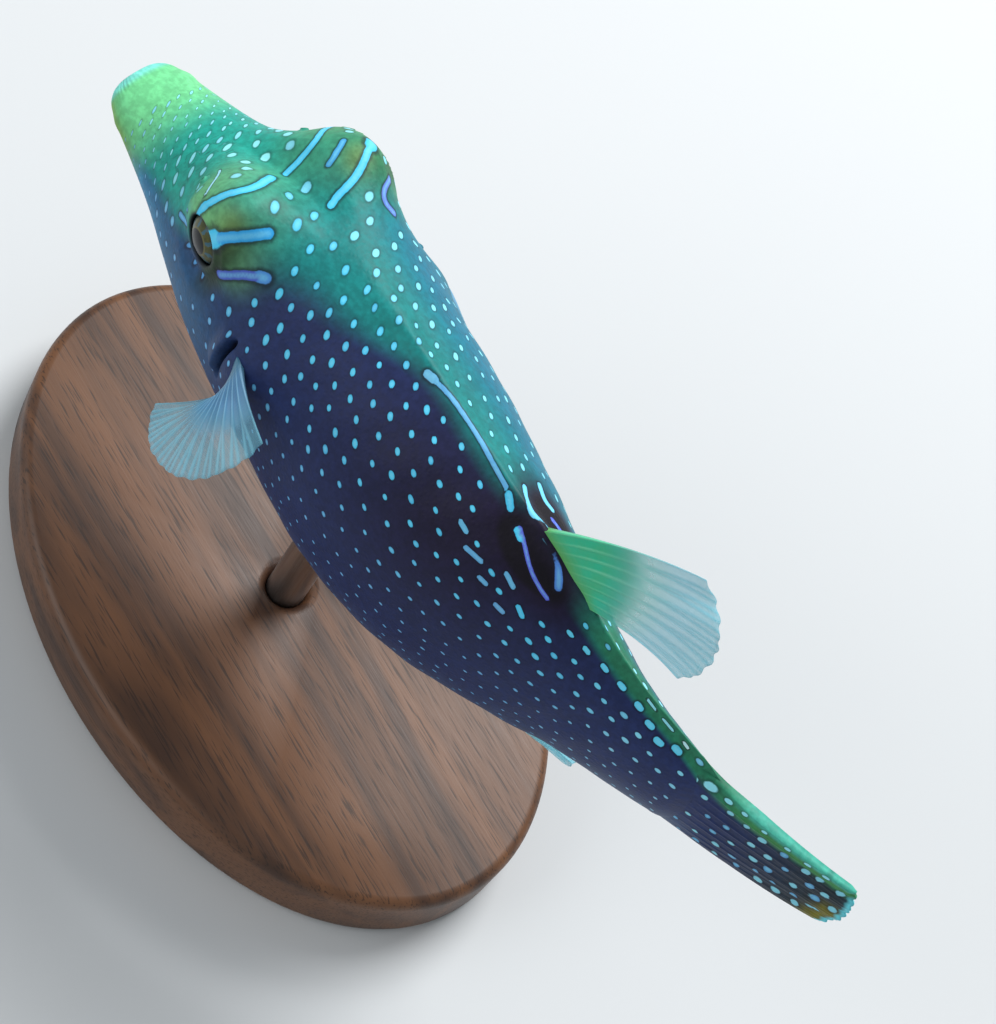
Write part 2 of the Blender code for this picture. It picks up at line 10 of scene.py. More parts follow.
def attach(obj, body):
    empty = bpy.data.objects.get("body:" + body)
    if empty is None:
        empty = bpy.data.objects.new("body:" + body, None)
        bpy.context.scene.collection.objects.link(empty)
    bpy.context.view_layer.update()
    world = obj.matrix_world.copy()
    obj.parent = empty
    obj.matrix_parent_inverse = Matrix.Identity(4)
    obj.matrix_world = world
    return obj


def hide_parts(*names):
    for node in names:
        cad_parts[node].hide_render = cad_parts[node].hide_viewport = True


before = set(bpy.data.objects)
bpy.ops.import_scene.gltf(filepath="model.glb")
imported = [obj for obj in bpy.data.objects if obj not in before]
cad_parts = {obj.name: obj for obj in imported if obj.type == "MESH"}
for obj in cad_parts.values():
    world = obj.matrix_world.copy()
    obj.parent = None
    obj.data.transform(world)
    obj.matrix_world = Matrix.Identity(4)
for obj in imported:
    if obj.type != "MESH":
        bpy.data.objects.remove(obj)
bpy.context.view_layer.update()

bpy.ops.object.select_all(action="DESELECT")
rng = np.random.default_rng(27)

# Skin of the whole fish
# A toby's skin is one scaleless sheet over the head, trunk and tail, thick and a little rough
# with hundreds of tiny prickles. It is grown in one piece, with fleshy lips, a raised rim
# round each eye, a slit of a gill and a soft foot under each pectoral fin.
MM = 0.001
STANDARD_LENGTH = 80.0
AXIS_HEIGHT = 45.0
BACK = [(0.0, 0.000), (0.06, 0.025), (0.12, 0.058), (0.18, 0.098), (0.25, 0.138), (0.33, 0.158),
        (0.45, 0.168), (0.60, 0.171), (0.70, 0.164), (0.80, 0.138), (0.90, 0.104), (1.0, 0.081)]
BELLY = [(0.0, 0.062), (0.06, 0.080), (0.12, 0.102), (0.18, 0.122), (0.25, 0.145), (0.33, 0.168),
         (0.45, 0.195), (0.56, 0.217), (0.67, 0.213), (0.78, 0.168), (0.88, 0.117), (1.0, 0.083)]
FLANK = [(0.0, 0.051), (0.06, 0.066), (0.12, 0.082), (0.18, 0.103), (0.25, 0.124), (0.33, 0.135),
         (0.43, 0.137), (0.55, 0.134), (0.66, 0.114), (0.78, 0.078), (0.88, 0.048), (1.0, 0.026)]
UPPER_FULLNESS = 1.85
LOWER_FULLNESS = 2.0
KEEL_HEIGHT = 0.8
KEEL_SPREAD = 7.0
TAIL_BEND_START = 0.476
TAIL_BEND_END = 1.25
TAIL_BEND = 30.0
HEAD_BEND_END = 0.4
HEAD_BEND = 6.3
EYE_PLACE = 0.238
EYE_MOUND_PLACE = 0.226
EYE_SIDE = 6.0
EYE_RISE = 6.8
EYE_LOOK_AHEAD = 1.3
EYE_LOOK_SIDE = 6.0
EYE_LOOK_RISE = 0.0
EYE_MOUND_SIDE = 5.2
EYE_MOUND_RISE = 8.4
EYE_MOUND_HEIGHT = 4.8
EYE_MOUND_LENGTH = 6.0
EYE_MOUND_SPREAD = 4.8
EYE_MOUND_TILT = 64.0
LID_DISTANCE = 2.817
ORBIT_RADIUS = 3.2
ORBIT_REACH = 5.6
ORBIT_SLOPE = 0.12
MOUTH_RISE = -2.48
MOUTH_HALF_WIDTH = 2.3
MOUTH_HALF_HEIGHT = 0.9
MOUTH_DEPTH = 2.4
MOUTH_LINING = [(MOUTH_DEPTH / STANDARD_LENGTH, 0.95), (0.016, 0.97), (0.003, 1.0), (-0.013, 1.0),
                (-0.0205, 0.84)]
LIPS = [(-0.0195, 0.55), (-0.016, 0.69), (-0.008, 0.85), (0.003, 0.95), (0.015, 1.0)]
LIP_FULLNESS = 2.2
GILL_PLACE = 0.341
GILL_TOP = 157.0
GILL_FOOT = 183.0
GILL_HALF_WIDTH = 0.3
GILL_DEPTH = 1.2
GILL_FLAP_HEIGHT = 0.5
PECTORAL_TOP = 0.363
PECTORAL_FOOT = 0.389
FOOT_HEIGHT = 0.9
FOOT_LENGTH = 2.8
FOOT_SPREAD = 3.8
FOOT_RISE = 2.4
DORSAL_START = 0.705
DORSAL_END = 0.795
ANAL_START = 0.735
ANAL_END = 0.810
COLUMNS = 236
BODY_ROWS = 324


def soft_curve(points, s):
    """Smooth curve through (place, value) points."""
    p = np.array(points, float)
    slopes = np.gradient(p[:, 1], p[:, 0])
    s = np.clip(s, p[0, 0], p[-1, 0])
    i = np.clip(np.searchsorted(p[:, 0], s) - 1, 0, len(p) - 2)
    span = p[i + 1, 0] - p[i, 0]
    t = (s - p[i, 0]) / span
    rise = t * t * (3 - 2 * t)
    start_slope = t * (1 - t) ** 2 * span * slopes[i]
    end_slope = t * t * (t - 1) * span * slopes[i + 1]
    return (1 - rise) * p[i, 1] + rise * p[i + 1, 1] + start_slope + end_slope


def ramp(value, low, high):
    """Soft step from 0 at low to 1 at high."""
    t = np.clip((value - low) / (high - low), 0.0, 1.0)
    return t * t * (3 - 2 * t)


def hump(value, centre, width):
    return np.exp(-((value - centre) / width) ** 2)


def unit(vectors):
    """Vectors of length 1 in the same directions."""
    return vectors / np.maximum(np.linalg.norm(vectors, axis=-1, keepdims=True), 1e-9)


def bend_angle(s):
    """Direction of the body's middle line at s, in radians from the X axis."""
    tail = np.clip((s - TAIL_BEND_START) / (TAIL_BEND_END - TAIL_BEND_START), 0, None) ** 1.3
    head = np.clip((HEAD_BEND_END - s) / HEAD_BEND_END, 0, 1) ** 1.2
    return np.radians(TAIL_BEND * tail + HEAD_BEND * head)


def middle_line():
    """The bent middle line as arrays of s, x and y, with x = y = 0 half way along the body."""
    s = np.linspace(-0.1, 1.4, 601)
    angle = bend_angle(s)
    step = (s[1] - s[0]) * STANDARD_LENGTH
    x = np.concatenate([[0.0], np.cumsum(np.cos((angle[1:] + angle[:-1]) / 2))]) * step
    y = np.concatenate([[0.0], np.cumsum(np.sin((angle[1:] + angle[:-1]) / 2))]) * step
    return s, x - np.interp(0.5, s, x), y - np.interp(0.45, s, y)


LINE_S, LINE_X, LINE_Y = middle_line()


def place(s, side, rise):
    """Point at s along the body, side to the fish's right and rise above its axis, in millimetres."""
    angle = bend_angle(s)
    x = np.interp(s, LINE_S, LINE_X) - np.sin(angle) * side
    y = np.interp(s, LINE_S, LINE_Y) + np.cos(angle) * side
    return np.stack(np.broadcast_arrays(x, y, rise + AXIS_HEIGHT), axis=-1)


def signed_power(value, fullness):
    return np.copysign(np.abs(value) ** (2.0 / fullness), value)


def section(s, degrees):
    """Side and rise of the skin at s; 0 degrees is the fish's right, 90 its back and 180 its left."""
    phi = np.radians(degrees)
    half = soft_curve(FLANK, s) * STANDARD_LENGTH
    keel = KEEL_HEIGHT * np.clip((s - 0.30) / 0.15, 0.0, 1.0)
    back = soft_curve(BACK, s) * STANDARD_LENGTH - keel
    belly = soft_curve(BELLY, s) * STANDARD_LENGTH
    fullness = np.where(np.sin(phi) > 0, UPPER_FULLNESS, LOWER_FULLNESS)
    side = half * signed_power(np.cos(phi), fullness)
    rise = (back - belly) / 2 + (back + belly) / 2 * signed_power(np.sin(phi), fullness)
    from_keel = (degrees + 90.0) % 360.0 - 180.0
    rise = rise + keel * hump(from_keel, 0.0, KEEL_SPREAD)
    along = (s - EYE_MOUND_PLACE) * STANDARD_LENGTH
    far = (np.abs(side) - EYE_MOUND_SIDE) ** 2 + (rise - EYE_MOUND_RISE) ** 2
    push = EYE_MOUND_HEIGHT * np.exp(-(along / EYE_MOUND_LENGTH) ** 2 - far / EYE_MOUND_SPREAD ** 2)
    tilt = math.radians(EYE_MOUND_TILT)
    along = (s - (PECTORAL_TOP + PECTORAL_FOOT) / 2) * STANDARD_LENGTH
    foot = FOOT_HEIGHT * hump(along, 0.0, FOOT_LENGTH) * hump(rise, FOOT_RISE, FOOT_SPREAD)
    out = np.minimum(1.0, np.abs(side) / 2.0)
    way = np.copysign(1.0, side)
    return side + way * (push * math.cos(tilt) * out + foot), rise + push * math.sin(tilt) * out


def eye_frame(way):
    """Centre of an eye and the direction it looks in: outwards and a little forward."""
    centre = place(EYE_PLACE, way * EYE_SIDE, EYE_RISE)
    ahead = EYE_PLACE - EYE_LOOK_AHEAD / STANDARD_LENGTH
    axis = place(ahead, way * (EYE_SIDE + EYE_LOOK_SIDE), EYE_RISE + EYE_LOOK_RISE) - centre
    return centre, unit(axis)


EYES = {"left": eye_frame(-1.0), "right": eye_frame(1.0)}

# Section through a lid: (distance from the line of sight in the plain skin, the same with the
# lid folded in, height over the orbit's rim). The first rows line the socket behind the eye.
LID_SECTION = [(0.0, 0.0, -6.47), (0.35, 2.0, -5.88), (0.60, 3.2, -4.59), (0.85, 3.65, -2.82),
               (1.10, 3.36, -1.37), (1.35, 2.82, -0.48), (1.60, 2.42, -0.12), (1.90, 2.31, 0.09),
               (2.20, 2.38, 0.24), (2.50, 2.59, 0.31), (2.80, 2.86, 0.27), (3.15, 3.16, 0.13),
               (3.55, 3.55, 0.01), (3.9, 3.9, -0.059)]


def body_points(s, degrees, lids=False):
    """Points of the skin, drawn up round each eye to a low dome and there folded into the lids."""
    points = place(s, *section(s, degrees))
    for centre, axis in EYES.values():
        offset = points - centre
        along = offset @ axis
        outward = offset - along[..., None] * axis
        radius = np.linalg.norm(outward, axis=-1)
        share = np.clip((ORBIT_REACH - radius) / (ORBIT_REACH - ORBIT_RADIUS), 0.0, 1.0)
        share = share * share * (3.0 - 2.0 * share) * np.clip((along + 2.0) / 2.0, 0.0, 1.0)
        dome = LID_DISTANCE - ORBIT_SLOPE * np.maximum(0.0, radius - ORBIT_RADIUS) ** 2
        points = points + axis * ((dome - along) * share)[..., None]
        if lids:
            turned_in = (radius < LID_SECTION[-1][0]) & (along > -1.0)
            new_radius = soft_curve([(r, n) for r, n, h in LID_SECTION], radius)
            new_along = soft_curve([(r, h) for r, n, h in LID_SECTION], radius) + LID_DISTANCE
            folded = centre + outward * (new_radius / np.maximum(radius, 0.001))[..., None]
            folded = folded + axis * new_along[..., None]
            points = np.where(turned_in[..., None], folded, points)
    return points


def body_normal(s, degrees):
    """Direction that leads straight out of the skin."""
    along = body_points(s + 0.004, degrees) - body_points(s - 0.004, degrees)
    around = body_points(s, degrees + 1.0) - body_points(s, degrees - 1.0)
    return unit(np.cross(around, along))


def spread_by(fineness, low, high, count):
    """Places from low to high that lie closer together where fineness is larger."""
    fine = np.linspace(low, high, 4000)
    total = np.concatenate([[0.0], np.cumsum(fineness(fine[:-1]))])
    return np.interp(np.linspace(0.0, total[-1], count), total, fine)


def through_rings(rings, steps):
    """Rings of points with smooth ones added between them."""
    rings = np.array(rings)
    padded = np.concatenate([2 * rings[:1] - rings[1:2], rings, 2 * rings[-1:] - rings[-2:-1]])
    made = []
    for i in range(1, len(padded) - 2):
        a, b, c, d = padded[i - 1:i + 3]
        for t in np.linspace(0.0, 1.0, steps, endpoint=False):
            made.append(0.5 * (2 * b + (c - a) * t + (2 * a - 5 * b + 4 * c - d) * t * t
                               + (3 * b - a - 3 * c + d) * t ** 3))
    made.append(rings[-1])
    return np.array(made)


def eye_columns(degrees):
    return 1.0 + 0.6 * (hump(degrees, 38.0, 20.0) + hump(degrees, 142.0, 20.0))


def body_rows(s):
    return 1.0 + 0.5 * hump(s, 0.245, 0.05) + 1.5 * hump(s, 0.345, 0.012)


skin_degrees = spread_by(eye_columns, 0.0, 360.0, COLUMNS + 1)[:-1]


def oval_ring(s, half_width, half_height, rise):
    phi = np.radians(skin_degrees)
    side = half_width * signed_power(np.cos(phi), LIP_FULLNESS)
    up = rise + half_height * signed_power(np.sin(phi), LIP_FULLNESS)
    return place(np.full(COLUMNS, float(s)), side, up)


# The rings of the lining all count as lying just ahead of the lips, where the colour is dark
LINING_PLACE = -0.022
FACE_PLACES = (0.028, 0.036, 0.046, 0.056)
MOUTH_STEPS = 5
mouth_rings = []
mouth_places = []
for s, share in MOUTH_LINING:
    mouth_rings.append(oval_ring(s, MOUTH_HALF_WIDTH * share, MOUTH_HALF_HEIGHT * share, MOUTH_RISE))
    mouth_places.append(LINING_PLACE)
for s, share in LIPS:
    half, back, belly = [float(soft_curve(line, s)) * STANDARD_LENGTH for line in (FLANK, BACK, BELLY)]
    mouth_rings.append(oval_ring(s, half * share, (back + belly) / 2 * share, (back - belly) / 2))
    mouth_places.append(s)
for s in FACE_PLACES:
    mouth_rings.append(body_points(np.full(COLUMNS, s), skin_degrees, lids=True))
    mouth_places.append(s)
mouth = through_rings(mouth_rings, MOUTH_STEPS)[:-1]
mouth_s = through_rings(np.array(mouth_places)[:, None], MOUTH_STEPS)[:-1, 0]

trunk_s = spread_by(body_rows, FACE_PLACES[-1], 1.0, BODY_ROWS)
trunk = body_points(*np.meshgrid(trunk_s, skin_degrees, indexing="ij"), lids=True)

# The skin runs on as a sleeve over the feet of the tail fin's rays
SLEEVE_END = 1.045
SLEEVE_SIDE_CLOSING = 0.48
SLEEVE_RISE_CLOSING = 0.22
sleeve_s = np.linspace(1.0, SLEEVE_END, 13)[1:]
end_side, end_rise = section(np.ones(COLUMNS), skin_degrees)
sleeve = []
for s in sleeve_s:
    closing = ramp(s, 1.0, SLEEVE_END)
    side = end_side * (1.0 - SLEEVE_SIDE_CLOSING * closing)
    sleeve.append(place(np.full(COLUMNS, s), side, end_rise * (1.0 - SLEEVE_RISE_CLOSING * closing)))

skin_grid = np.concatenate([mouth, trunk, np.array(sleeve)])
skin_s = np.concatenate([mouth_s, trunk_s, sleeve_s])
S, D = np.meshgrid(skin_s, skin_degrees, indexing="ij")
FROM_TOP = np.abs((D + 90.0) % 360.0 - 180.0)
LEFT = (D > 90.0) & (D < 270.0)

# The plain section has a faint crease along the middle of the nape, which is rounded off
CREST_ROUNDS = 14
crest = hump(D, 90.0, 8.0) * ramp(S, 0.27, 0.33) * ramp(-S, -0.47, -0.38)
for _ in range(CREST_ROUNDS):
    middle = (np.roll(skin_grid, 1, 1) + np.roll(skin_grid, -1, 1)) / 2
    skin_grid = skin_grid + (middle - skin_grid) * (0.6 * crest)[..., None]


def grid_normals(grid):
    along = np.gradient(grid, axis=0)
    around = np.roll(grid, -1, 1) - np.roll(grid, 1, 1)
    return unit(np.cross(around, along))


# Folds too fine for the solid: creased lips, the gill slit with its flap, and the fleshy
# welts that the dorsal and anal fins stand in
LIP_CREASES = 44
LIP_CREASE_HEIGHT = 0.022
WELT_HEIGHT = 0.35
SOFT_HEIGHT = 0.03
lift = LIP_CREASE_HEIGHT * np.cos(np.radians(D) * LIP_CREASES) * hump(S, -0.010, 0.008) * (S > LIPS[0][0])
for top, foot in ((GILL_TOP, GILL_FOOT), (180.0 - GILL_FOOT, 180.0 - GILL_TOP)):
    t = (D - top) / (foot - top)
    t = t if top > 90.0 else 1.0 - t
    ahead = (S - GILL_PLACE - 0.016 * (t - 0.5) ** 2 - 0.004 * t) * STANDARD_LENGTH
    window = ramp(t, -0.06, 0.12) * ramp(-t, -1.06, -0.88)
    flap = ramp(ahead, -2.3, -0.5) * ramp(-ahead, -0.05, 0.30)
    lift = lift + window * (GILL_FLAP_HEIGHT * flap - GILL_DEPTH * hump(ahead, 0.0, GILL_HALF_WIDTH))
for start, end, middle in ((DORSAL_START, DORSAL_END, 90.0), (ANAL_START, ANAL_END, 270.0)):
    welt = ramp(S, start - 0.02, start + 0.005) * ramp(-S, -end - 0.02, -end + 0.01)
    lift = lift + WELT_HEIGHT * welt * hump(D, middle, 5.5)
soft = np.sin(S * 61 + 1.3) * np.sin(np.radians(D) * 5 + 0.4) + np.sin(S * 97 + np.radians(D) * 7)
lift = lift + SOFT_HEIGHT * soft * ramp(S, 0.30, 0.40) * ramp(-S, -0.98, -0.90)
skin_grid = skin_grid + grid_normals(skin_grid) * lift[..., None]
skin_normals = grid_normals(skin_grid)


def linear(color):
    """sRGB hex colour as linear RGBA."""
    shares = [int(color[i:i + 2], 16) / 255 for i in (1, 3, 5)]
    return [c / 12.92 if c <= 0.04045 else ((c + 0.055) / 1.055) ** 2.4 for c in shares] + [1.0]


def plain(shape, color):
    return np.zeros((*shape, 4)) + np.array(linear(color))


def blend(colors, *steps):
    """Colours turned towards one hex colour after the other, each by a share at each point."""
    for share, color in steps:
        colors = colors + (np.array(linear(color)) - colors) * np.clip(share, 0.0, 1.0)[..., None]
    return colors


# Ground colours, laid from the flank upwards. Green reaches down to a line that lies near the eye on the head
# and close under the back on the trunk. On the right side it reaches lower, with a softer edge: painted light
# on the lit right side, while the green kept narrow on the shaded left trunk is painted shade.
LEFT_EDGE_OF_GREEN = [(0.0, 90.0), (0.12, 70.0), (0.22, 58.0), (0.28, 43.0), (0.325, 35.0), (0.36, 27.0),
                      (0.40, 23.0), (0.44, 16.0), (0.49, 7.0), (0.60, 6.0), (0.70, 9.0), (0.80, 13.0),
                      (0.90, 17.0), (0.98, 21.0), (1.05, 44.0)]
RIGHT_EDGE_OF_LIT_GREEN = [(0.0, 90.0), (0.2, 78.0), (0.35, 68.0), (0.50, 62.0), (0.70, 46.0), (0.85, 28.0),
                       (0.98, 24.0), (1.05, 44.0)]
edge = np.where(LEFT, soft_curve(LEFT_EDGE_OF_GREEN, S), soft_curve(RIGHT_EDGE_OF_LIT_GREEN, S))
softness = np.where(LEFT, 6.0 + 8.0 * ramp(-S, -0.50, -0.30), 16.0)
green = ramp(edge - FROM_TOP, -softness, softness)
ground = blend(
    plain(S.shape, "#213162"),
    (hump(S, 0.66, 0.16) * hump(FROM_TOP, 35.0, 50.0), "#1D1836"),
    (ramp(FROM_TOP, 95.0, 165.0) * 0.8, "#5E7796"),
    (ramp(-S, -0.40, -0.24) * ramp(FROM_TOP, 50.0, 95.0), "#285F88"),
    (ramp(-S, -0.30, -0.10) * ramp(FROM_TOP, 95.0, 150.0), "#6C9DB0"),
    (green, "#148886"),
    # The bluer teal on the right side's upper flank is painted light of the lit side.
    (green * ~LEFT * ramp(FROM_TOP, 5.0, 40.0) * ramp(S, 0.20, 0.40), "#157A96"),
    (green * ramp(-S, -0.33, -0.15), "#22A796"),
    (ramp(-S, -0.22, -0.10) * ramp(FROM_TOP, 60.0, 100.0), "#2A86B2"),
    (green * ramp(S, 0.74, 0.86), "#2A8060"),
    (ramp(-S, -0.105, -0.035) * ramp(-FROM_TOP, -110.0, -60.0), "#7ADF9A"),
    (ramp(-S, -0.10, -0.03) * ramp(FROM_TOP, 55.0, 100.0), "#78B048"),
    # The pale cyan round the front of the lips is a painted rim highlight.
    (ramp(-S, 0.004, 0.014), "#86F0E0"),
    (ramp(-S, 0.0188, 0.0198), "#4A2A34"))
for (centre, axis), shade in zip(EYES.values(), ("#79BE74", "#5E9C50")):
    offset = skin_grid - centre
    around = np.linalg.norm(offset - (offset @ axis)[..., None] * axis, axis=-1)
    upper = ramp(skin_grid[..., 2] - centre[2], -2.5, 2.5)
    # Behind each eye the mound's rear slope is darkened with painted shade.
    behind = ramp(offset[..., 0], 0.2, 1.8) * ramp(-offset[..., 0], -4.4, -2.6)
    far = np.linalg.norm(offset, axis=-1)
    near = hump(far, 3.8, 2.3)
    ground = blend(ground, (near * upper * 0.8, shade), (near * behind * 0.85, "#22381F"),
                   (ramp(-around, -2.75, -2.35) * hump(far, 3.6, 1.2), "#151B22"))
on_mounds = hump(S, 0.247, 0.020) * (hump(D, 67.0, 8.0) + hump(D, 131.0, 8.0))
# The dark green-black patch between the bars below and behind the left eye is painted shade of the mound.
ground = blend(ground, (hump(S, 0.266, 0.017) * hump(D, 147.0, 11.0) * 0.85, "#1B2F1E"),
               (hump(S, 0.250, 0.040) * hump(D, 55.0, 16.0) * 0.55, "#2C7A3C"), (on_mounds * 0.42, "#8A9420"))
FALSE_EYE_PLACE = 0.728
FALSE_EYE_LENGTH = 4.3
FALSE_EYE_HEIGHT = 2.3
in_false_eye = np.zeros(S.shape, bool)
for middle in (104.0, 76.0):
    around = (D - middle) * soft_curve([(0.6, 0.2), (1.0, 0.1)], S)
    far = np.hypot((S - FALSE_EYE_PLACE) * STANDARD_LENGTH / FALSE_EYE_LENGTH, around / FALSE_EYE_HEIGHT)
    in_false_eye |= far < 1.5
    ground = blend(ground, (ramp(-far, -2.1, -0.9), "#1A1230"), (ramp(-far, -1.15, -0.85), "#0C0716"))
# Where the skin dips in at the gill slit it is painted near black: painted shade in the slit.
ground = blend(ground, (ramp(-lift, 0.15, 0.9), "#140F1C"))

# Blue lines. Each has its half width, its colour and places as (along the body, degrees round it)
CYAN = "#45C4EE"
VIOLET = "#4A5FBE"
PALE = "#9FDCEE"
NO_MARK = 9.0
BLUE_LINES = [
    (0.40, CYAN, [(0.212, 146), (0.210, 138), (0.211, 132), (0.215, 125), (0.224, 116), (0.225, 107),
                  (0.215, 98)]),
    (0.14, PALE, [(0.171, 117), (0.187, 122), (0.199, 129)]),
    (0.50, "#2F9FE0", [(0.238, 145), (0.256, 136), (0.269, 129), (0.280, 120)]),
    (0.85, CYAN, [(0.2455, 141.2), (0.2475, 140.0)]),
    (0.44, VIOLET, [(0.278, 148), (0.295, 140), (0.311, 133)]),
    (0.55, "#4E90D8", [(0.310, 133.5), (0.315, 131.5)]),
    (0.32, CYAN, [(0.215, 89), (0.211, 82), (0.203, 74), (0.192, 62), (0.189, 52)]),
    (0.26, "#3E9AD2", [(0.238, 78), (0.232, 74), (0.222, 67)]),
    (0.34, CYAN, [(0.280, 85), (0.274, 80), (0.267, 72), (0.257, 66), (0.247, 61), (0.236, 53)]),
    (0.62, CYAN, [(0.2415, 57), (0.238, 54)]),
    (0.30, "#5E78CC", [(0.278, 50), (0.290, 58), (0.303, 59), (0.314, 55)]),
    (0.21, "#5FA9DC", [(0.503, 94.5), (0.530, 92), (0.556, 91), (0.591, 91), (0.622, 92.5), (0.652, 94)]),
    (0.38, "#6FBCE4", [(0.503, 94.5), (0.512, 93.6)]),
    (0.32, CYAN, [(0.660, 95), (0.673, 98)]),
    (0.30, CYAN, [(0.695, 102), (0.704, 103)]),
    (0.18, "#5A66D8", [(0.695, 100), (0.710, 103), (0.734, 108.8), (0.754, 111.5), (0.770, 112)]),
    (0.26, "#6CCBF0", [(0.719, 93.2), (0.733, 92.2)]),
    (0.34, "#5088DC", [(0.737, 91.5), (0.753, 94.5), (0.768, 101.5)]),
    (0.28, "#6CCBF0", [(0.661, 80), (0.674, 85.5), (0.690, 89.5), (0.705, 88), (0.717, 83.5)]),
    (0.28, "#6CCBF0", [(0.665, 67), (0.683, 70), (0.696, 68.5)]),
    (0.20, "#5A66D8", [(0.705, 74), (0.725, 71), (0.750, 69), (0.768, 68)]),
    (0.23, "#5FA6D8", [(0.676, 127), (0.697, 126)]),
    (0.23, "#62AEDC", [(0.723, 121), (0.738, 123)]),
    (0.23, "#5F9CD0", [(0.739, 136), (0.749, 136)]),
    (0.23, CYAN, [(0.756, 128), (0.766, 130)]),
    (0.23, "#5FA6D8", [(0.708, 132), (0.717, 132)]),
    (0.23, "#62B4DE", [(0.652, 121), (0.664, 122)]),
    (0.13, "#8FE0EE", [(0.917, 95.5), (0.932, 95.8)]),
    (0.13, "#8FE0EE", [(0.944, 96.2), (0.960, 96.5)]),
    (0.16, "#C4ECF2", [(0.977, 96.2), (0.984, 97)]),
]
# A row of larger, brighter spots follows the edge of the green along the tail
EDGE_SPOTS = [(0.812, 115.0), (0.836, 113.2), (0.862, 110.5), (0.888, 108.5), (0.916, 108.2), (0.938, 114.0),
              (0.957, 121.0), (0.977, 111.0)]
for s, degrees in EDGE_SPOTS:
    BLUE_LINES.append((0.18 + 0.8 * (s - 0.80), "#5CD0F2", [(s - 0.003, degrees), (s + 0.003, degrees)]))
line_paths = []
for half_width, color, knots in BLUE_LINES:
    fine = through_rings(np.array(knots, float), 4)
    line_paths.append((half_width, color, body_points(fine[:, 0], fine[:, 1])))

# Short bars that ray out round the front and the lower side of each eye
BAR_TURNS = (60, 85, 110, 140, 165)
BAR_REACH = (3.7, 4.4, 5.1, 5.8)
BAR_HALF_WIDTH = 0.26
for centre, axis in EYES.values():
    down = unit(np.array([0.0, 0.0, -1.0]) - axis * -axis[2])
    rear = np.cross(down, axis) * (1.0 if centre[1] > 0 else -1.0)
    for turn in BAR_TURNS:
        a = math.radians(turn)
        out = down * math.sin(a) + rear * math.cos(a)
        bar = []
        for r in BAR_REACH:
            bar.append(centre + axis * (LID_DISTANCE - 0.1 - 0.05 * (r - ORBIT_RADIUS) ** 2) + out * r)
        line_paths.append((BAR_HALF_WIDTH, "#4C8FC8", np.array(bar)))


def near_lines(points, paths):
    """Distance to the nearest line as a share of its half width, and that line's colour."""
    best = np.full(points.shape[:-1], NO_MARK)
    colors = plain(points.shape[:-1], CYAN)
    for half_width, color, path in paths:
        middle = path.mean(0)
        reach = np.linalg.norm(path - middle, axis=1).max() + 4.0
        close = np.linalg.norm(points - middle, axis=-1) < reach
        near = points[close]
        far = np.full(len(near), NO_MARK)
        for a, b in zip(path[:-1], path[1:]):
            t = np.clip(((near - a) @ (b - a)) / max(1e-9, (b - a) @ (b - a)), 0.0, 1.0)
            far = np.minimum(far, np.linalg.norm(near - a - t[:, None] * (b - a), axis=1))
        far = far / half_width
        nearer = far < best[close]
        best[close] = np.where(nearer, far, best[close])
        colors[close] = np.where(nearer[:, None], np.array(linear(color)), colors[close])
    return best, colors


skin_line, skin_line_color = near_lines(skin_grid, line_paths)

# Pale spots, set evenly apart as on the living skin, wider apart on the crown and finer below
SPOT_SPACING = [(0.0, 1.3), (0.12, 1.35), (0.17, 2.2), (0.25, 2.75), (0.31, 2.4), (0.38, 1.88), (0.60, 2.0),
                (0.80, 1.68), (1.05, 1.85)]
SPOT_CLEARANCE = 0.62


def even_points(points, spacing, fixed):
    """Indices of points set evenly, spacing apart and clear of the fixed points, in close rows."""
    free = np.full(len(points), 9.0)
    for p in fixed:
        free = np.minimum(free, np.linalg.norm(points - p, axis=1) / (SPOT_CLEARANCE * spacing))
    chosen = []
    while True:
        open_places = np.where(free > 1.0, free, 99.0)
        i = int(np.argmin(open_places))
        if open_places[i] > 98.0:
            return np.array(chosen)
        chosen.append(i)
        free = np.minimum(free, np.linalg.norm(points - points[i], axis=1) / spacing)


def nearest_of(centres, points):
    """For each point, the number of the centre nearest to it."""
    tree = KDTree(len(centres))
    for i, p in enumerate(centres):
        tree.insert(p, i)
    tree.balance()
    return np.array([tree.find(p)[1] for p in points])


def spread_evenly(points, area, spacing, seeds, fixed, rounds):
    """Moves each seed to the middle of the skin that is nearest to it, a few times over."""
    weight = area / spacing ** 4
    for _ in range(rounds):
        owner = nearest_of([*seeds, *fixed], points)
        total = np.bincount(owner, weight, len(seeds) + len(fixed))[:len(seeds)]
        for axis in range(3):
            mean = np.bincount(owner, weight * points[:, axis], len(seeds) + len(fixed))[:len(seeds)]
            seeds[:, axis] = np.where(total > 0, mean / np.maximum(total, 1e-12), seeds[:, axis])
    return np.unique(nearest_of(points, seeds))


spacing = (soft_curve(SPOT_SPACING, S) * (1.0 - 0.10 * ramp(FROM_TOP, 60.0, 110.0))).ravel()
between_lines = (S > 0.20) & (S < 0.31) & (D > 116.0) & (D < 152.0)
bare = ((S < 0.035) | (S > 1.012) | in_false_eye | between_lines | (lift < -0.15)).ravel()
for centre, axis in EYES.values():
    offset = skin_grid.reshape(-1, 3) - centre
    far = np.linalg.norm(offset - (offset @ axis)[:, None] * axis, axis=1)
    bare |= (far < 3.9) & (offset @ axis > -1.0)
open_skin = np.flatnonzero(~bare)
open_points = skin_grid.reshape(-1, 3)[open_skin]
steps = [np.linalg.norm(np.gradient(skin_grid, axis=way), axis=-1).ravel()[open_skin] for way in (0, 1)]
fixed = [p for half_width, color, path in line_paths for p in path[::2]]
seeds = open_points[even_points(open_points, spacing[open_skin], fixed)]
chosen = open_skin[spread_evenly(open_points, steps[0] * steps[1], spacing[open_skin], seeds, fixed, 4)]
spot_s, spot_degrees, spot_top = [values.ravel()[chosen] for values in (S, D, FROM_TOP)]
spot_centre = skin_grid.reshape(-1, 3)[chosen]
spot_along = unit(np.gradient(skin_grid, axis=0).reshape(-1, 3)[chosen])
spot_normal = skin_normals.reshape(-1, 3)[chosen]

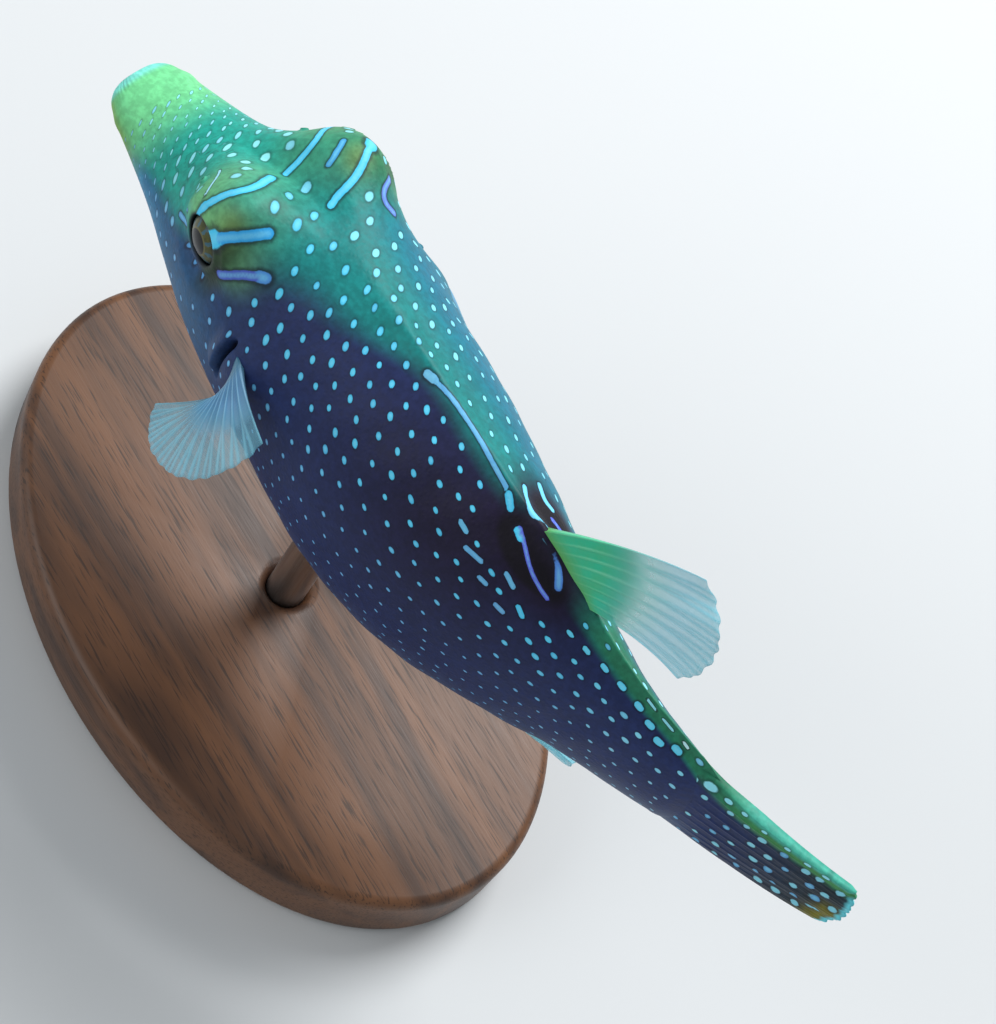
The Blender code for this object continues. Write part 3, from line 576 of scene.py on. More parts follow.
# Spots are ovals. They lie across the body on the head and turn to lie along it at the tail.
turn = np.radians(60.0 - 56.0 * ramp(spot_s, 0.25, 0.85))
turn = turn * np.where((spot_degrees > 48.0) & (spot_degrees < 270.0), -1.0, 1.0)
spot_across = np.cross(spot_normal, spot_along)
spot_long = spot_along * np.cos(turn)[:, None] + spot_across * np.sin(turn)[:, None]
spot_wide = np.cross(spot_normal, spot_long)
SPOT_HALF = [(0.0, 0.13), (0.12, 0.15), (0.15, 0.30), (0.19, 0.42), (0.26, 0.36), (0.34, 0.28), (0.50, 0.23),
             (0.75, 0.21), (0.95, 0.22), (1.05, 0.26)]
SPOT_LENGTH = [(0.0, 3.2), (0.12, 3.2), (0.16, 1.6), (0.26, 1.5), (0.34, 1.6), (0.50, 1.6), (0.75, 1.7),
               (1.05, 1.5)]
half = soft_curve(SPOT_HALF, spot_s) * (1.0 - 0.36 * ramp(spot_top, 45.0, 95.0))
half = half * rng.uniform(0.86, 1.12, len(half))
length = half * soft_curve(SPOT_LENGTH, spot_s) * rng.uniform(0.92, 1.12, len(half))
# Spots on the right upper flank and the back are made paler, painted light of the lit side; those lower on
# the flank turn duller and darker, partly their own colour and partly painted shade.
spot_color = blend(plain(half.shape, "#4CCBF2"), (ramp(-spot_s, -0.29, -0.20), "#8CE0E2"),
                   (ramp(-spot_degrees, -104.0, -72.0) * 0.75, "#8FE6EA"),
                   (ramp(spot_top, 40.0, 88.0) * 0.9, "#5F83BE"), (ramp(spot_s, 0.80, 0.95) * 0.5, "#A6DDEA"),
                   (rng.uniform(0.0, 0.35, len(half)), "#2F7FC0"))


def near_spots(points, centres, longs, wides, half_lengths, half_widths, colors):
    """Offset of each point from its nearest spot, along and across it in shares of its half sizes,
    the distance in such shares, and the spot's colour."""
    flat = points.reshape(-1, 3)
    owner = nearest_of(centres, flat)
    offset = flat - centres[owner]
    along = (offset * longs[owner]).sum(1) / half_lengths[owner]
    across = (offset * wides[owner]).sum(1) / half_widths[owner]
    far = np.linalg.norm(offset, axis=1) / half_lengths[owner]
    return np.stack([along, across, far], 1), colors[owner]


skin_spot, skin_spot_color = near_spots(skin_grid, spot_centre, spot_long, spot_wide, length, half,
                                        spot_color)


def new_piece(name, points, faces):
    """Closed mesh from points in millimetres, smooth, with its faces turned outwards."""
    mesh = bpy.data.meshes.new(name)
    mesh.from_pydata((np.asarray(points) * MM).tolist(), [], faces)
    bm = bmesh.new()
    bm.from_mesh(mesh)
    bmesh.ops.recalc_face_normals(bm, faces=bm.faces)
    bm.to_mesh(mesh)
    bm.free()
    mesh.shade_smooth()
    piece = bpy.data.objects.new(name, mesh)
    bpy.context.scene.collection.objects.link(piece)
    return piece


def keep_at_points(piece, name, kind, values):
    """Stores one value, vector or colour for each point of the mesh."""
    layer = piece.data.attributes.new(name, kind, "POINT")
    field = {"FLOAT": "value", "FLOAT_VECTOR": "vector", "FLOAT_COLOR": "color"}[kind]
    layer.data.foreach_set(field, np.asarray(values, np.float32).ravel())


def keep_markings(piece, ground, spot, spot_color, line, line_color):
    """Stores what the skin's material reads: its ground colour and its spots and lines."""
    keep_at_points(piece, "ground", "FLOAT_COLOR", ground)
    keep_at_points(piece, "spot", "FLOAT_VECTOR", spot)
    keep_at_points(piece, "spot_color", "FLOAT_COLOR", spot_color)
    keep_at_points(piece, "line", "FLOAT", line)
    keep_at_points(piece, "line_color", "FLOAT_COLOR", line_color)


def tube_faces(rows, columns):
    """Faces between rings that follow one another, each of as many points."""
    faces = []
    for r in range(rows - 1):
        for c in range(columns):
            a, b = r * columns + c, r * columns + (c + 1) % columns
            faces.append((a, b, b + columns, a + columns))
    return faces


rows = len(skin_s)
skin_faces = tube_faces(rows, COLUMNS)
caps = [skin_grid[0].mean(0), skin_grid[-1].mean(0)]
for start, tip in ((0, rows * COLUMNS), ((rows - 1) * COLUMNS, rows * COLUMNS + 1)):
    for c in range(COLUMNS):
        skin_faces.append((start + c, start + (c + 1) % COLUMNS, tip))
skin = new_piece("skin", np.concatenate([skin_grid.reshape(-1, 3), caps]), skin_faces)


def with_caps(values):
    """Values at the grid's points, followed by those for the tips of the two caps."""
    flat = np.asarray(values, float).reshape(rows * COLUMNS, -1)
    return np.concatenate([flat, flat[:1], flat[-1:]])


markings = (ground, skin_spot, skin_spot_color, skin_line, skin_line_color)
keep_markings(skin, *[with_caps(values) for values in markings])


def new_material(name, settings):
    """A material and its surface node, whose settings are input values by name."""
    material = bpy.data.materials.new(name)
    material.use_nodes = True
    surface = material.node_tree.nodes["Principled BSDF"]
    for key, value in settings.items():
        surface.inputs[key].default_value = value
    return material, surface


def add_node(material, kind, settings, output=0):
    """Adds a node and gives back one of its outputs. Settings are its own options, in small letters,
    and its inputs by name or number: each a value, a hex colour or another node's output."""
    node = material.node_tree.nodes.new("ShaderNode" + kind)
    for key, value in settings.items():
        if isinstance(key, str) and key[0].islower():
            setattr(node, key, value)
        elif isinstance(value, bpy.types.NodeSocket):
            material.node_tree.links.new(value, node.inputs[key])
        else:
            node.inputs[key].default_value = linear(value) if isinstance(value, str) else value
    return node.outputs[output]


def connect(material, surface, sockets):
    """Links what drives the surface, by the names of its inputs."""
    for name, socket in sockets.items():
        material.node_tree.links.new(socket, surface.inputs[name])


def lay_over(material, below, above, value, low, high, most=1.0):
    """Lays one colour over another, from nothing where the value is low to most where it is high."""
    share = add_node(material, "MapRange", {"interpolation_type": "SMOOTHSTEP", "From Min": low,
                                            "From Max": high, "To Max": most, "Value": value})
    return add_node(material, "Mix", {"data_type": "RGBA", 0: share, 6: below, 7: above}, 2)


def flat_length(material, vector):
    """Length of a vector's first two parts together, and all its parts."""
    parts = add_node(material, "SeparateXYZ", {0: vector}).node.outputs
    squares = [add_node(material, "Math", {"operation": "POWER", 0: parts[i], 1: 2.0}) for i in (0, 1)]
    total = add_node(material, "Math", {"operation": "ADD", 0: squares[0], 1: squares[1]})
    return add_node(material, "Math", {"operation": "SQRT", 0: total}), parts


# Living toby skin: matt to satin, clouded ground under clear-edged spots that look lit from
# inside, and prickles that break up the sheen. The pattern's numbers count clouds, grains and
# prickles to the millimetre: clouds are about 3 mm wide and the prickles 0.5 mm apart.
SKIN_CLOUDS = 0.32
SKIN_GRAIN = 1.5
SKIN_PRICKLES = 2.0
toby_skin, surface = new_material("damp_toby_skin", {"Specular IOR Level": 0.22})
coords = add_node(toby_skin, "TexCoord", {}, "Object")
cloud = add_node(toby_skin, "TexNoise", {"Scale": SKIN_CLOUDS / MM, "Detail": 3.0, "Vector": coords})
grain = add_node(toby_skin, "TexNoise", {"Scale": SKIN_GRAIN / MM, "Detail": 3.0, "Vector": coords})
prickles = add_node(toby_skin, "TexVoronoi", {"Scale": SKIN_PRICKLES / MM, "Vector": coords}, "Distance")
base, spot_hue, line_hue = [add_node(toby_skin, "Attribute", {"attribute_name": layer}, "Color")
                            for layer in ("ground", "spot_color", "line_color")]
clouded = lay_over(toby_skin, "#F2F2F4", "#FFFFFF", cloud, 0.3, 0.7)
speckled = lay_over(toby_skin, "#E2E2E2", "#FFFFFF", grain, 0.35, 0.7)
for shading in (clouded, speckled):
    base = add_node(toby_skin, "Mix", {"data_type": "RGBA", "blend_type": "MULTIPLY", 0: 1.0, 6: base,
                                       7: shading}, 2)
ragged = add_node(toby_skin, "Math", {"operation": "MULTIPLY_ADD", 0: grain, 1: 0.5, 2: -0.25})
spot = add_node(toby_skin, "Attribute", {"attribute_name": "spot"}, "Vector")
around, parts = flat_length(toby_skin, spot)
around = add_node(toby_skin, "Math", {"operation": "MAXIMUM", 0: around, 1: parts[2]})
around = add_node(toby_skin, "Math", {"operation": "ADD", 0: around, 1: ragged})
base = lay_over(toby_skin, base, "#0E0F22", around, 1.9, 1.1, 0.4)
core = lay_over(toby_skin, spot_hue, "#8CE6F6", around, 1.0, 0.2, 0.35)
base = lay_over(toby_skin, base, core, around, 1.18, 0.86)
line = add_node(toby_skin, "Attribute", {"attribute_name": "line"}, "Fac")
line_far = add_node(toby_skin, "Math", {"operation": "ADD", 0: line, 1: ragged})
base = lay_over(toby_skin, base, "#0D0E24", line_far, 2.1, 1.15, 0.7)
core = lay_over(toby_skin, line_hue, "#86DCF4", line_far, 0.9, 0.1, 0.4)
base = lay_over(toby_skin, base, core, line_far, 1.15, 0.88)
tips = add_node(toby_skin, "MapRange", {"interpolation_type": "SMOOTHSTEP", "From Min": 0.55,
                                        "From Max": 0.0, "To Max": 0.7, "Value": prickles})
relief = add_node(toby_skin, "Math", {"operation": "ADD", 0: tips, 1: grain})
rough = add_node(toby_skin, "MapRange", {"To Min": 0.45, "To Max": 0.6, "Value": grain})
bump = add_node(toby_skin, "Bump", {"Strength": 0.35, "Distance": 0.00006, "Height": relief})
connect(toby_skin, surface, {"Base Color": base, "Roughness": rough, "Normal": bump})
skin.data.materials.append(toby_skin)
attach(skin, "root")
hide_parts("head", "torso", "tail_peduncle")

# Eyes
# Each eye is a ball set in its socket behind the lids: a clear wet cornea over an iris of olive gold with a
# dark rim and blue rays, and a deep blue-black pupil drawn a little forward.
EYE_RADIUS = 3.5
PUPIL_RADIUS = 1.15


def make_eye(name, centre, axis):
    bpy.ops.mesh.primitive_uv_sphere_add(segments=72, ring_count=48, radius=EYE_RADIUS * MM)
    eye = bpy.context.object
    eye.name = name
    rotation = Vector((0.0, 0.0, 1.0)).rotation_difference(Vector(axis))
    local = np.array([v.co for v in eye.data.vertices]) / MM
    cornea = ramp(local[:, 2], 2.6, 3.5) * 0.12
    for vertex, swell in zip(eye.data.vertices, cornea):
        vertex.co *= 1.0 + swell / EYE_RADIUS
    keep_at_points(eye, "sight", "FLOAT_VECTOR", local)
    eye.data.transform(Matrix.Translation(Vector(centre) * MM) @ rotation.to_matrix().to_4x4())
    bpy.ops.object.shade_smooth()
    return eye


# A fish's eye in air: gold and green pigment cells of the iris under a smooth film of water.
# The fibres of the iris are about 0.3 mm wide, and its attribute is in millimetres.
IRIS_FIBRES = 3.2
iris, surface = new_material("wet_fish_eye", {"Roughness": 0.35, "Coat Weight": 0.15,
                                              "Specular IOR Level": 0.25, "Coat Roughness": 0.03,
                                              "Coat IOR": 1.38})
sight = add_node(iris, "Attribute", {"attribute_name": "sight"}, "Vector")
far, parts = flat_length(iris, sight)
turn = add_node(iris, "Math", {"operation": "ARCTAN2", 0: parts[1], 1: parts[0]})
fibre = add_node(iris, "TexNoise", {"Scale": IRIS_FIBRES, "Detail": 3.0, "Vector": sight})
wavy = add_node(iris, "Math", {"operation": "MULTIPLY", 0: fibre, 1: 3.0})
wavy = add_node(iris, "Math", {"operation": "MULTIPLY_ADD", 0: turn, 1: 9.0, 2: wavy})
rays = add_node(iris, "Math", {"operation": "SINE", 0: wavy})
color = add_node(iris, "Mix", {"data_type": "RGBA", 0: fibre, 6: "#2A3320", 7: "#5A5A2A"}, 2)
color = lay_over(iris, color, "#2A6E90", rays, 0.5, 0.9, 0.5)
color = lay_over(iris, color, "#14242A", far, 1.75, 2.25)
color = lay_over(iris, color, "#5C5A36", far, PUPIL_RADIUS + 0.22, PUPIL_RADIUS + 0.12)
color = lay_over(iris, color, "#04070D", far, PUPIL_RADIUS + 0.06, PUPIL_RADIUS - 0.04)
connect(iris, surface, {"Base Color": color})
for way, (centre, axis) in EYES.items():
    bpy.ops.object.select_all(action="DESELECT")
    eye = make_eye("eyeball_" + way, centre, axis)
    eye.data.materials.append(iris)
    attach(eye, "root")
    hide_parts("eye_" + way)

# Nostrils
# On each side of the snout stands one short tube with a round hole. It is the same soft skin, grown out of
# the skin round it and coloured as that is, with painted shade darkening the inside of the hole.
NOSTRIL_PLACE = 0.170
NOSTRIL_ANGLE = 38.0
NOSTRIL_COLUMNS = 32
NOSTRIL_SECTION = [(-0.35, 1.0), (0.0, 0.70), (0.08, 0.50), (0.17, 0.41), (0.25, 0.38), (0.29, 0.31),
                   (0.29, 0.24), (0.23, 0.19), (0.05, 0.16), (-0.08, 0.12)]
for way, name in ((-1.0, "nostril_left"), (1.0, "nostril_right")):
    degrees = 90.0 - way * NOSTRIL_ANGLE
    root = body_points(np.array(NOSTRIL_PLACE), np.array(degrees))
    normal = body_normal(np.array(NOSTRIL_PLACE), np.array(degrees))
    across = unit(np.cross(normal, (0.0, 0.0, 1.0)))
    upward = np.cross(across, normal)
    ring = np.linspace(0.0, 2 * math.pi, NOSTRIL_COLUMNS + 1)[:-1]
    outward = np.cos(ring)[:, None] * across + np.sin(ring)[:, None] * upward
    levels = through_rings(np.array(NOSTRIL_SECTION), 3)
    points = np.concatenate([root + normal * h + outward * r for h, r in levels])
    faces = tube_faces(len(levels), NOSTRIL_COLUMNS)
    faces.append(tuple(range(NOSTRIL_COLUMNS)))
    faces.append(tuple(range(len(points) - NOSTRIL_COLUMNS, len(points))))
    nostril = new_piece(name, points, faces)
    i = int(np.argmin(np.abs(skin_s - NOSTRIL_PLACE)))
    j = int(np.argmin(np.abs(skin_degrees - degrees)))
    # The inner wall of the hole is darkened with painted shade.
    dark = np.repeat(ramp(np.arange(len(levels)), len(levels) * 0.7, len(levels) * 0.85), NOSTRIL_COLUMNS)
    tone = blend(np.zeros((len(points), 4)) + ground[i, j], (dark * 0.85, "#0B1414"))
    keep_markings(nostril, tone, np.full(points.shape, NO_MARK), tone, np.full(len(points), NO_MARK), tone)
    nostril.data.materials.append(toby_skin)
    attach(nostril, "root")

# Beak
# The teeth of each jaw are grown together into one ivory plate of enamel, rooted in the jaw, that
# shows between the lips. The two CAD plates have its shape and only get their finish here.
# Enamel: dense, smooth and a little see-through, with faint streaks where it grew, about 0.5 mm
# apart, given as a count to the millimetre
ENAMEL_STREAKS = 1.8
enamel, surface = new_material("tooth_enamel", {"Roughness": 0.25, "IOR": 1.62})
coords = add_node(enamel, "TexCoord", {}, "Object")
streaks = add_node(enamel, "TexNoise", {"Scale": ENAMEL_STREAKS / MM, "Detail": 2.0, "Vector": coords})
color = add_node(enamel, "Mix", {"data_type": "RGBA", 0: streaks, 6: "#D8CFAE", 7: "#F2EBD6"}, 2)
connect(enamel, surface, {"Base Color": color})
for name in ("beak_upper", "beak_lower"):
    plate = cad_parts[name]
    plate.data.materials.clear()
    plate.data.materials.append(enamel)

# Dorsal and anal fins
# Thin clear webs of skin on branched rays of fine jointed bone. The rays are rooted under the
# skin and rake back from a fleshy welt, over the tail's root and below it.
DORSAL_RAYS = 9
DORSAL_LENGTH = 16.6
DORSAL_ANGLES = (50.0, 24.0)
DORSAL_LEAN = 40.0
ANAL_RAYS = 9
ANAL_LENGTH = 12.4
ANAL_ANGLES = (58.0, 36.0)
ANAL_LEAN = 34.0
FIN_SINK = 0.8
WEB_HALF = 0.07
RAY_HALF = 0.13
BRANCH_FROM = 0.42
WEB_CLOUDS = 0.42
RAY_SEGMENTS = 190.0 / (2 * math.pi)
RAY_CURVE = 14.0
COLUMNS_PER_RAY = 12


def fin_piece(name, surface, thickness, rays, rows, ripple=0.3, ray_half=RAY_HALF, scallop=0.014):
    """Fin over (t, v): t runs from the first ray to the last, v from the root to the free edge.

    Rays stand out of both faces as slim ridges and fork once on the way to the edge.
    Returns the piece, its points and the t and v at each point."""
    columns = (rays - 1) * COLUMNS_PER_RAY + 1
    t, v = np.meshgrid(np.linspace(0.0, 1.0, columns), np.linspace(0.0, 1.0, rows + 1), indexing="ij")
    gap = t * (rays - 1)
    from_ray = np.abs(gap - np.round(gap))
    fork = 0.23 * ramp(v, BRANCH_FROM, 1.0) * np.where((gap > 0.5) & (gap < rays - 1.5), 1.0, 0.0)
    stem = hump(from_ray, 0.0, 0.13) * ramp(-v, -BRANCH_FROM - 0.1, -BRANCH_FROM)
    on_ray = np.maximum(hump(from_ray, fork, 0.11), stem)
    notch = scallop * (np.sin(math.pi * from_ray) ** 2 + 0.4 * np.sin(gap * 2.3 + 1.0) ** 2)
    reach = v * (1.0 - notch * ramp(v, 0.5, 1.0))
    grid = surface(t, reach)
    normal = unit(np.cross(np.gradient(grid, axis=0), np.gradient(grid, axis=1)))
    grid = grid + normal * (ripple * v ** 1.5 * np.sin(gap * 1.9 + v * 2.5))[..., None]
    half = thickness(t, v) + on_ray * ray_half * (1.0 - 0.65 * v) * ramp(v, 0.06, 0.30)
    half = half * (1.0 - 0.6 * ramp(v, 0.96, 1.0))
    points = np.concatenate([(grid + normal * half[..., None]).reshape(-1, 3),
                             (grid - normal * half[..., None]).reshape(-1, 3)])
    tall, far = rows + 1, columns * (rows + 1)
    faces = []
    for c in range(columns - 1):
        for r in range(rows):
            a, b = c * tall + r, (c + 1) * tall + r
            faces.append((a, b, b + 1, a + 1))
            faces.append((far + a, far + a + 1, far + b + 1, far + b))
        for r in (0, rows):
            a, b = c * tall + r, (c + 1) * tall + r
            faces.append((a, b, far + b, far + a))
    for r in range(rows):
        for c in (0, columns - 1):
            a = c * tall + r
            faces.append((a, a + 1, far + a + 1, far + a))
    piece = new_piece(name, points, faces)
    twice = [np.concatenate([x.ravel(), x.ravel()]) for x in (t, v, on_ray)]
    keep_at_points(piece, "ray", "FLOAT", twice[2])
    keep_at_points(piece, "span", "FLOAT", twice[0])
    keep_at_points(piece, "reach", "FLOAT", twice[1])
    return piece, points, twice[0], twice[1]


def median_surface(start, end, up, length, angles, lean):
    """Rays fan from the middle line of the back (up is 1) or of the belly (up is -1)."""
    def surface(t, v):
        s = start + (end - start) * t
        edge = body_points(s, np.full(s.shape, 90.0 * up))
        forward = unit(place(s + 0.01, 0.0, 0.0) - place(s, 0.0, 0.0))
        right = np.stack([-forward[..., 1], forward[..., 0], 0.0 * t], -1)
        angle = np.radians(angles[0] + (angles[1] - angles[0]) * t - RAY_CURVE * v)[..., None]
        tilt = (math.radians(lean) * (0.4 + 0.6 * v))[..., None]
        rise = np.array([0.0, 0.0, 1.0]) * up * np.cos(tilt) + right * np.sin(tilt)
        reach = (length * (1.0 - 0.10 * (1 - t) ** 3 - 0.42 * t ** 2.2) + FIN_SINK)[..., None]
        ray = forward * np.cos(angle) + rise * np.sin(angle)
        return edge - np.array([0.0, 0.0, up * FIN_SINK]) + ray * reach * v[..., None]
    return surface


def web_material(name, web, ray, root, web_alpha, ray_alpha):
    """Fin web: thin wet skin, clear and tinted, between rays of short bony segments that show less
    clear. Its clouds are 2 to 3 mm wide, given as a count to the millimetre."""
    material, surface = new_material(name, {"Roughness": 0.35})
    on_ray, reach, span = [add_node(material, "Attribute", {"attribute_name": layer}, "Fac")
                           for layer in ("ray", "reach", "span")]
    coords = add_node(material, "TexCoord", {}, "Object")
    cloud = add_node(material, "TexNoise", {"Scale": WEB_CLOUDS / MM, "Detail": 3.0, "Vector": coords})
    to_last = add_node(material, "Math", {"operation": "SUBTRACT", 0: 1.0, 1: span})
    outward = add_node(material, "Math", {"operation": "MULTIPLY_ADD", 0: to_last, 1: -0.28, 2: reach})
    color = lay_over(material, web, root, cloud, 0.3, 0.7, 0.3)
    color = lay_over(material, color, ray, on_ray, 0.2, 0.9, 0.6)
    color = lay_over(material, color, "#7AC8DE", outward, 0.08, 0.62, 0.9)
    color = lay_over(material, color, root, reach, 0.22, 0.02)
    clear = add_node(material, "MapRange", {"To Min": web_alpha, "To Max": ray_alpha, "Value": on_ray})
    flesh = add_node(material, "MapRange", {"interpolation_type": "SMOOTHSTEP", "From Min": 0.62,
                                            "From Max": 0.12, "Value": outward})
    solid = add_node(material, "Math", {"operation": "MAXIMUM", 0: clear, 1: flesh})
    along = add_node(material, "Math", {"operation": "MULTIPLY", 0: reach, 1: RAY_SEGMENTS * 2 * math.pi})
    segments = add_node(material, "Math", {"operation": "SINE", 0: along})
    relief = add_node(material, "Math", {"operation": "MULTIPLY_ADD", 0: segments, 1: 0.3, 2: cloud})
    bump = add_node(material, "Bump", {"Strength": 0.3, "Distance": 0.00005, "Height": relief})
    connect(material, surface, {"Base Color": color, "Alpha": solid, "Normal": bump})
    return material


def median_thickness(t, v):
    return WEB_HALF + 0.50 * (1 - v) ** 5


green_web = web_material("green_fin_web", "#18B890", "#5CC496", "#55993C", 0.44, 0.66)
dorsal_surface = median_surface(DORSAL_START, DORSAL_END, 1.0, DORSAL_LENGTH, DORSAL_ANGLES, DORSAL_LEAN)
anal_surface = median_surface(ANAL_START, ANAL_END, -1.0, ANAL_LENGTH, ANAL_ANGLES, ANAL_LEAN)
for name, node, surface, rays in (("dorsal_web", "dorsal_fin", dorsal_surface, DORSAL_RAYS),
                                  ("anal_web", "anal_fin", anal_surface, ANAL_RAYS)):
    fin, _, _, _ = fin_piece(name, surface, median_thickness, rays, 44)
    fin.data.materials.append(green_web)
    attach(fin, "root")
    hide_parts(node)

# Pectoral fins
# The fish sculls with these: broad fans of clear web on soft rays, from a fleshy foot behind the
# gill. The left one is spread out and forward, the right one drawn back along the flank.
PECTORAL_RAYS = 14
PECTORAL_LENGTH = 9.0
PECTORAL_FANS = {
    "left": ((158.0, 174.0), [(0.98, -0.16, -0.06), (0.50, -0.92, -0.42), (-0.50, -0.82, -0.24)]),
    "right": ((14.0, -3.0), [(0.82, 0.06, -0.57), (0.42, 0.26, -0.87), (-0.30, 0.40, -0.87)]),
}


def pectoral_surface(angles, directions):
    upper, middle, lower = [np.array(direction) for direction in directions]

    def surface(t, v):
        s = PECTORAL_TOP + (PECTORAL_FOOT - PECTORAL_TOP) * t
        degrees = angles[0] + (angles[1] - angles[0]) * t
        w = t[..., None]
        ray = unit(upper * (1 - w) ** 2 + middle * 2 * w * (1 - w) + lower * w * w)
        reach = (PECTORAL_LENGTH * (0.92 + 0.08 * np.sin(math.pi * t) - 0.24 * t * t))[..., None]
        x = v[..., None]
        curl = np.array([0.10, 0.0, -0.12]) * x * x * reach * np.sin(math.pi * w)
        rising = body_normal(s, degrees) * (1.05 - 1.35 * (1 - x) ** 3)
        return body_points(s, degrees) + rising + ray * reach * x + curl
    return surface


def pectoral_thickness(t, v):
    return WEB_HALF + 0.36 * (1 - v) ** 4


blue_web = web_material("blue_fin_web", "#4F86B4", "#8FC4E0", "#36708C", 0.26, 0.55)
for way, (angles, directions) in PECTORAL_FANS.items():
    fin, _, _, _ = fin_piece("pectoral_web_" + way, pectoral_surface(angles, directions), pectoral_thickness,
                             PECTORAL_RAYS, 40, ripple=0.18)
    fin.data.materials.append(blue_web)
    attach(fin, "root")
    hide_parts("pectoral_fin_" + way)

# Tail fin
# Folded like a closed fan as the fish swings its tail: dark, spotted faces, a green upper edge
# and an olive tip with a bright rim.
CAUDAL_RAYS = 11
CAUDAL_LENGTH = 0.235
CAUDAL_TOP_INSET = 1.0
CAUDAL_FOOT_INSET = 0.25
CAUDAL_GAP = 0.15
CAUDAL_NARROWING = 0.30
CAUDAL_CUP = 0.5
CAUDAL_EDGE_FOLD = 0.30
caudal_top = BACK[-1][1] * STANDARD_LENGTH - CAUDAL_TOP_INSET
caudal_foot = BELLY[-1][1] * STANDARD_LENGTH - CAUDAL_FOOT_INSET
caudal_root = 1.0 + CAUDAL_GAP / STANDARD_LENGTH


def caudal_surface(t, v):
    reach = CAUDAL_LENGTH * (1.0 - 0.05 * (2 * t - 1) ** 2)
    rise = (caudal_top - (caudal_top + caudal_foot) * t) * (1.0 - CAUDAL_NARROWING * v)
    return place(caudal_root + reach * v, -CAUDAL_CUP * np.sin(math.pi * t) * v, rise)


def caudal_thickness(t, v):
    round_root = np.sqrt(np.maximum(0.0, 1 - (2 * t - 1) ** 2)) * 1.45
    folded_edge = CAUDAL_EDGE_FOLD * hump(t, 0.04, 0.10) * ramp(v, 0.15, 0.45)
    return 0.12 + round_root * (1 - v) ** 2 + 0.10 * (1 - v) + folded_edge


tail, points, t, v = fin_piece("tail_fin", caudal_surface, caudal_thickness, CAUDAL_RAYS, 72, ripple=0.12,
                              ray_half=0.11, scallop=0.010)
tone = blend(plain(t.shape, "#213162"), (ramp(-v, -0.35, 0.0) * ramp(t, 0.5, 1.0) * 0.7, "#5E7796"),
             (ramp(v, 0.15, 0.9) * 0.8, "#26352F"),
             (ramp(-t - 0.09 * ramp(-v, -0.35, 0.0), -0.21, -0.11), "#2A8060"),
             (ramp(-t, -0.19, -0.09) * ramp(v, 0.1, 0.5), "#3C8E4E"),
             (ramp(-t, -0.06, -0.01) * ramp(v, 0.12, 0.42), "#4BB5A0"),
             (hump(v, 0.93, 0.07) * ramp(t, 0.35, 0.6), "#7F7A22"),
             (ramp(v, 0.955, 0.985) * ramp(t, 0.05, 0.2), "#6FE4F2"))
TAIL_SPOTS_ALONG = 9
TAIL_DASHES = [(0.10, 0.03, 0.62), (0.06, 0.12, 0.66), (0.05, 0.23, 0.40), (0.03, 0.34, 0.30),
               (0.04, 0.46, 0.28), (0.03, 0.60, 0.30), (0.04, 0.72, 0.34), (0.03, 0.84, 0.36)]
half_count = len(points) // 2
tail_spots = []


def on_tail(spot_t, spot_v, face):
    """Point of one face of the tail fin that is nearest to a place on it."""
    away = (t[:half_count] - spot_t) ** 2 + (v[:half_count] - spot_v) ** 2
    return points[int(np.argmin(away)) + face * half_count]


for face in (0, 1):
    for row in range(5):
        for place_along in range(TAIL_SPOTS_ALONG):
            spot_t = 0.17 + 0.18 * row + rng.uniform(-0.025, 0.025)
            spot_v = (place_along + 0.5 * (row % 2) + 0.4 + rng.uniform(-0.12, 0.12)) / TAIL_SPOTS_ALONG
            if spot_t > 0.97 or spot_v > 0.93:
                continue
            size = (0.27 + 0.15 * spot_v) * rng.uniform(0.8, 1.15)
            here, ahead, down = caudal_surface(np.array([spot_t, spot_t, spot_t + 0.02]),
                                               np.array([spot_v, spot_v + 0.02, spot_v]))
            color = "#7FC8DC" if rng.random() < 0.6 else "#5A9CCC"
            tail_spots.append((on_tail(spot_t, spot_v, face), unit(ahead - here), unit(down - here),
                               size * 1.15, size, linear(color)))
_, dash_along, dash_across, _, _, _ = tail_spots[0]
for spot_t, spot_v, size in TAIL_DASHES:
    for face in (0, 1):
        tail_spots.append((on_tail(spot_t, spot_v, face), dash_along, dash_across, size, size * 0.6,
                           linear("#8FE0EE")))
spots, spot_colors = near_spots(points, *[np.array(values) for values in zip(*tail_spots)])
keep_markings(tail, tone, spots, spot_colors, np.full(len(points), NO_MARK), tone)
tail.data.materials.append(toby_skin)
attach(tail, "root")
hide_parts("caudal_fin")

# Stand rod
# A turned steel rod, brushed along its length, let into the base and hollowed at the top to
# the curve of the belly.
ROD_RADIUS = 2.0
ROD_TOP_GAP = 0.02
BASE_HEIGHT = 8.0
SOCKET_DEPTH = 3.0
bpy.ops.object.select_all(action="DESELECT")
bpy.ops.mesh.primitive_cylinder_add(vertices=64, radius=ROD_RADIUS * MM, depth=1.0)
rod = bpy.context.object
rod.name = "rod"
belly_degrees = np.linspace(240.0, 300.0, 61)
belly_s = np.linspace(0.46, 0.54, 41)
under = body_points(*np.meshgrid(belly_s, belly_degrees, indexing="ij")).reshape(-1, 3)
for vertex in rod.data.vertices:
    if vertex.co.z > 0:
        nearest = np.argmin((under[:, 0] * MM - vertex.co.x) ** 2 + (under[:, 1] * MM - vertex.co.y) ** 2)
        vertex.co.z = (under[nearest, 2] - ROD_TOP_GAP) * MM
    else:
        vertex.co.z = (BASE_HEIGHT - SOCKET_DEPTH) * MM
bpy.ops.object.mode_set(mode="EDIT")
bpy.ops.mesh.select_all(action="SELECT")
bpy.ops.mesh.normals_make_consistent(inside=False)
bpy.ops.object.mode_set(mode="OBJECT")
bpy.ops.object.shade_smooth_by_angle(angle=math.radians(40.0))
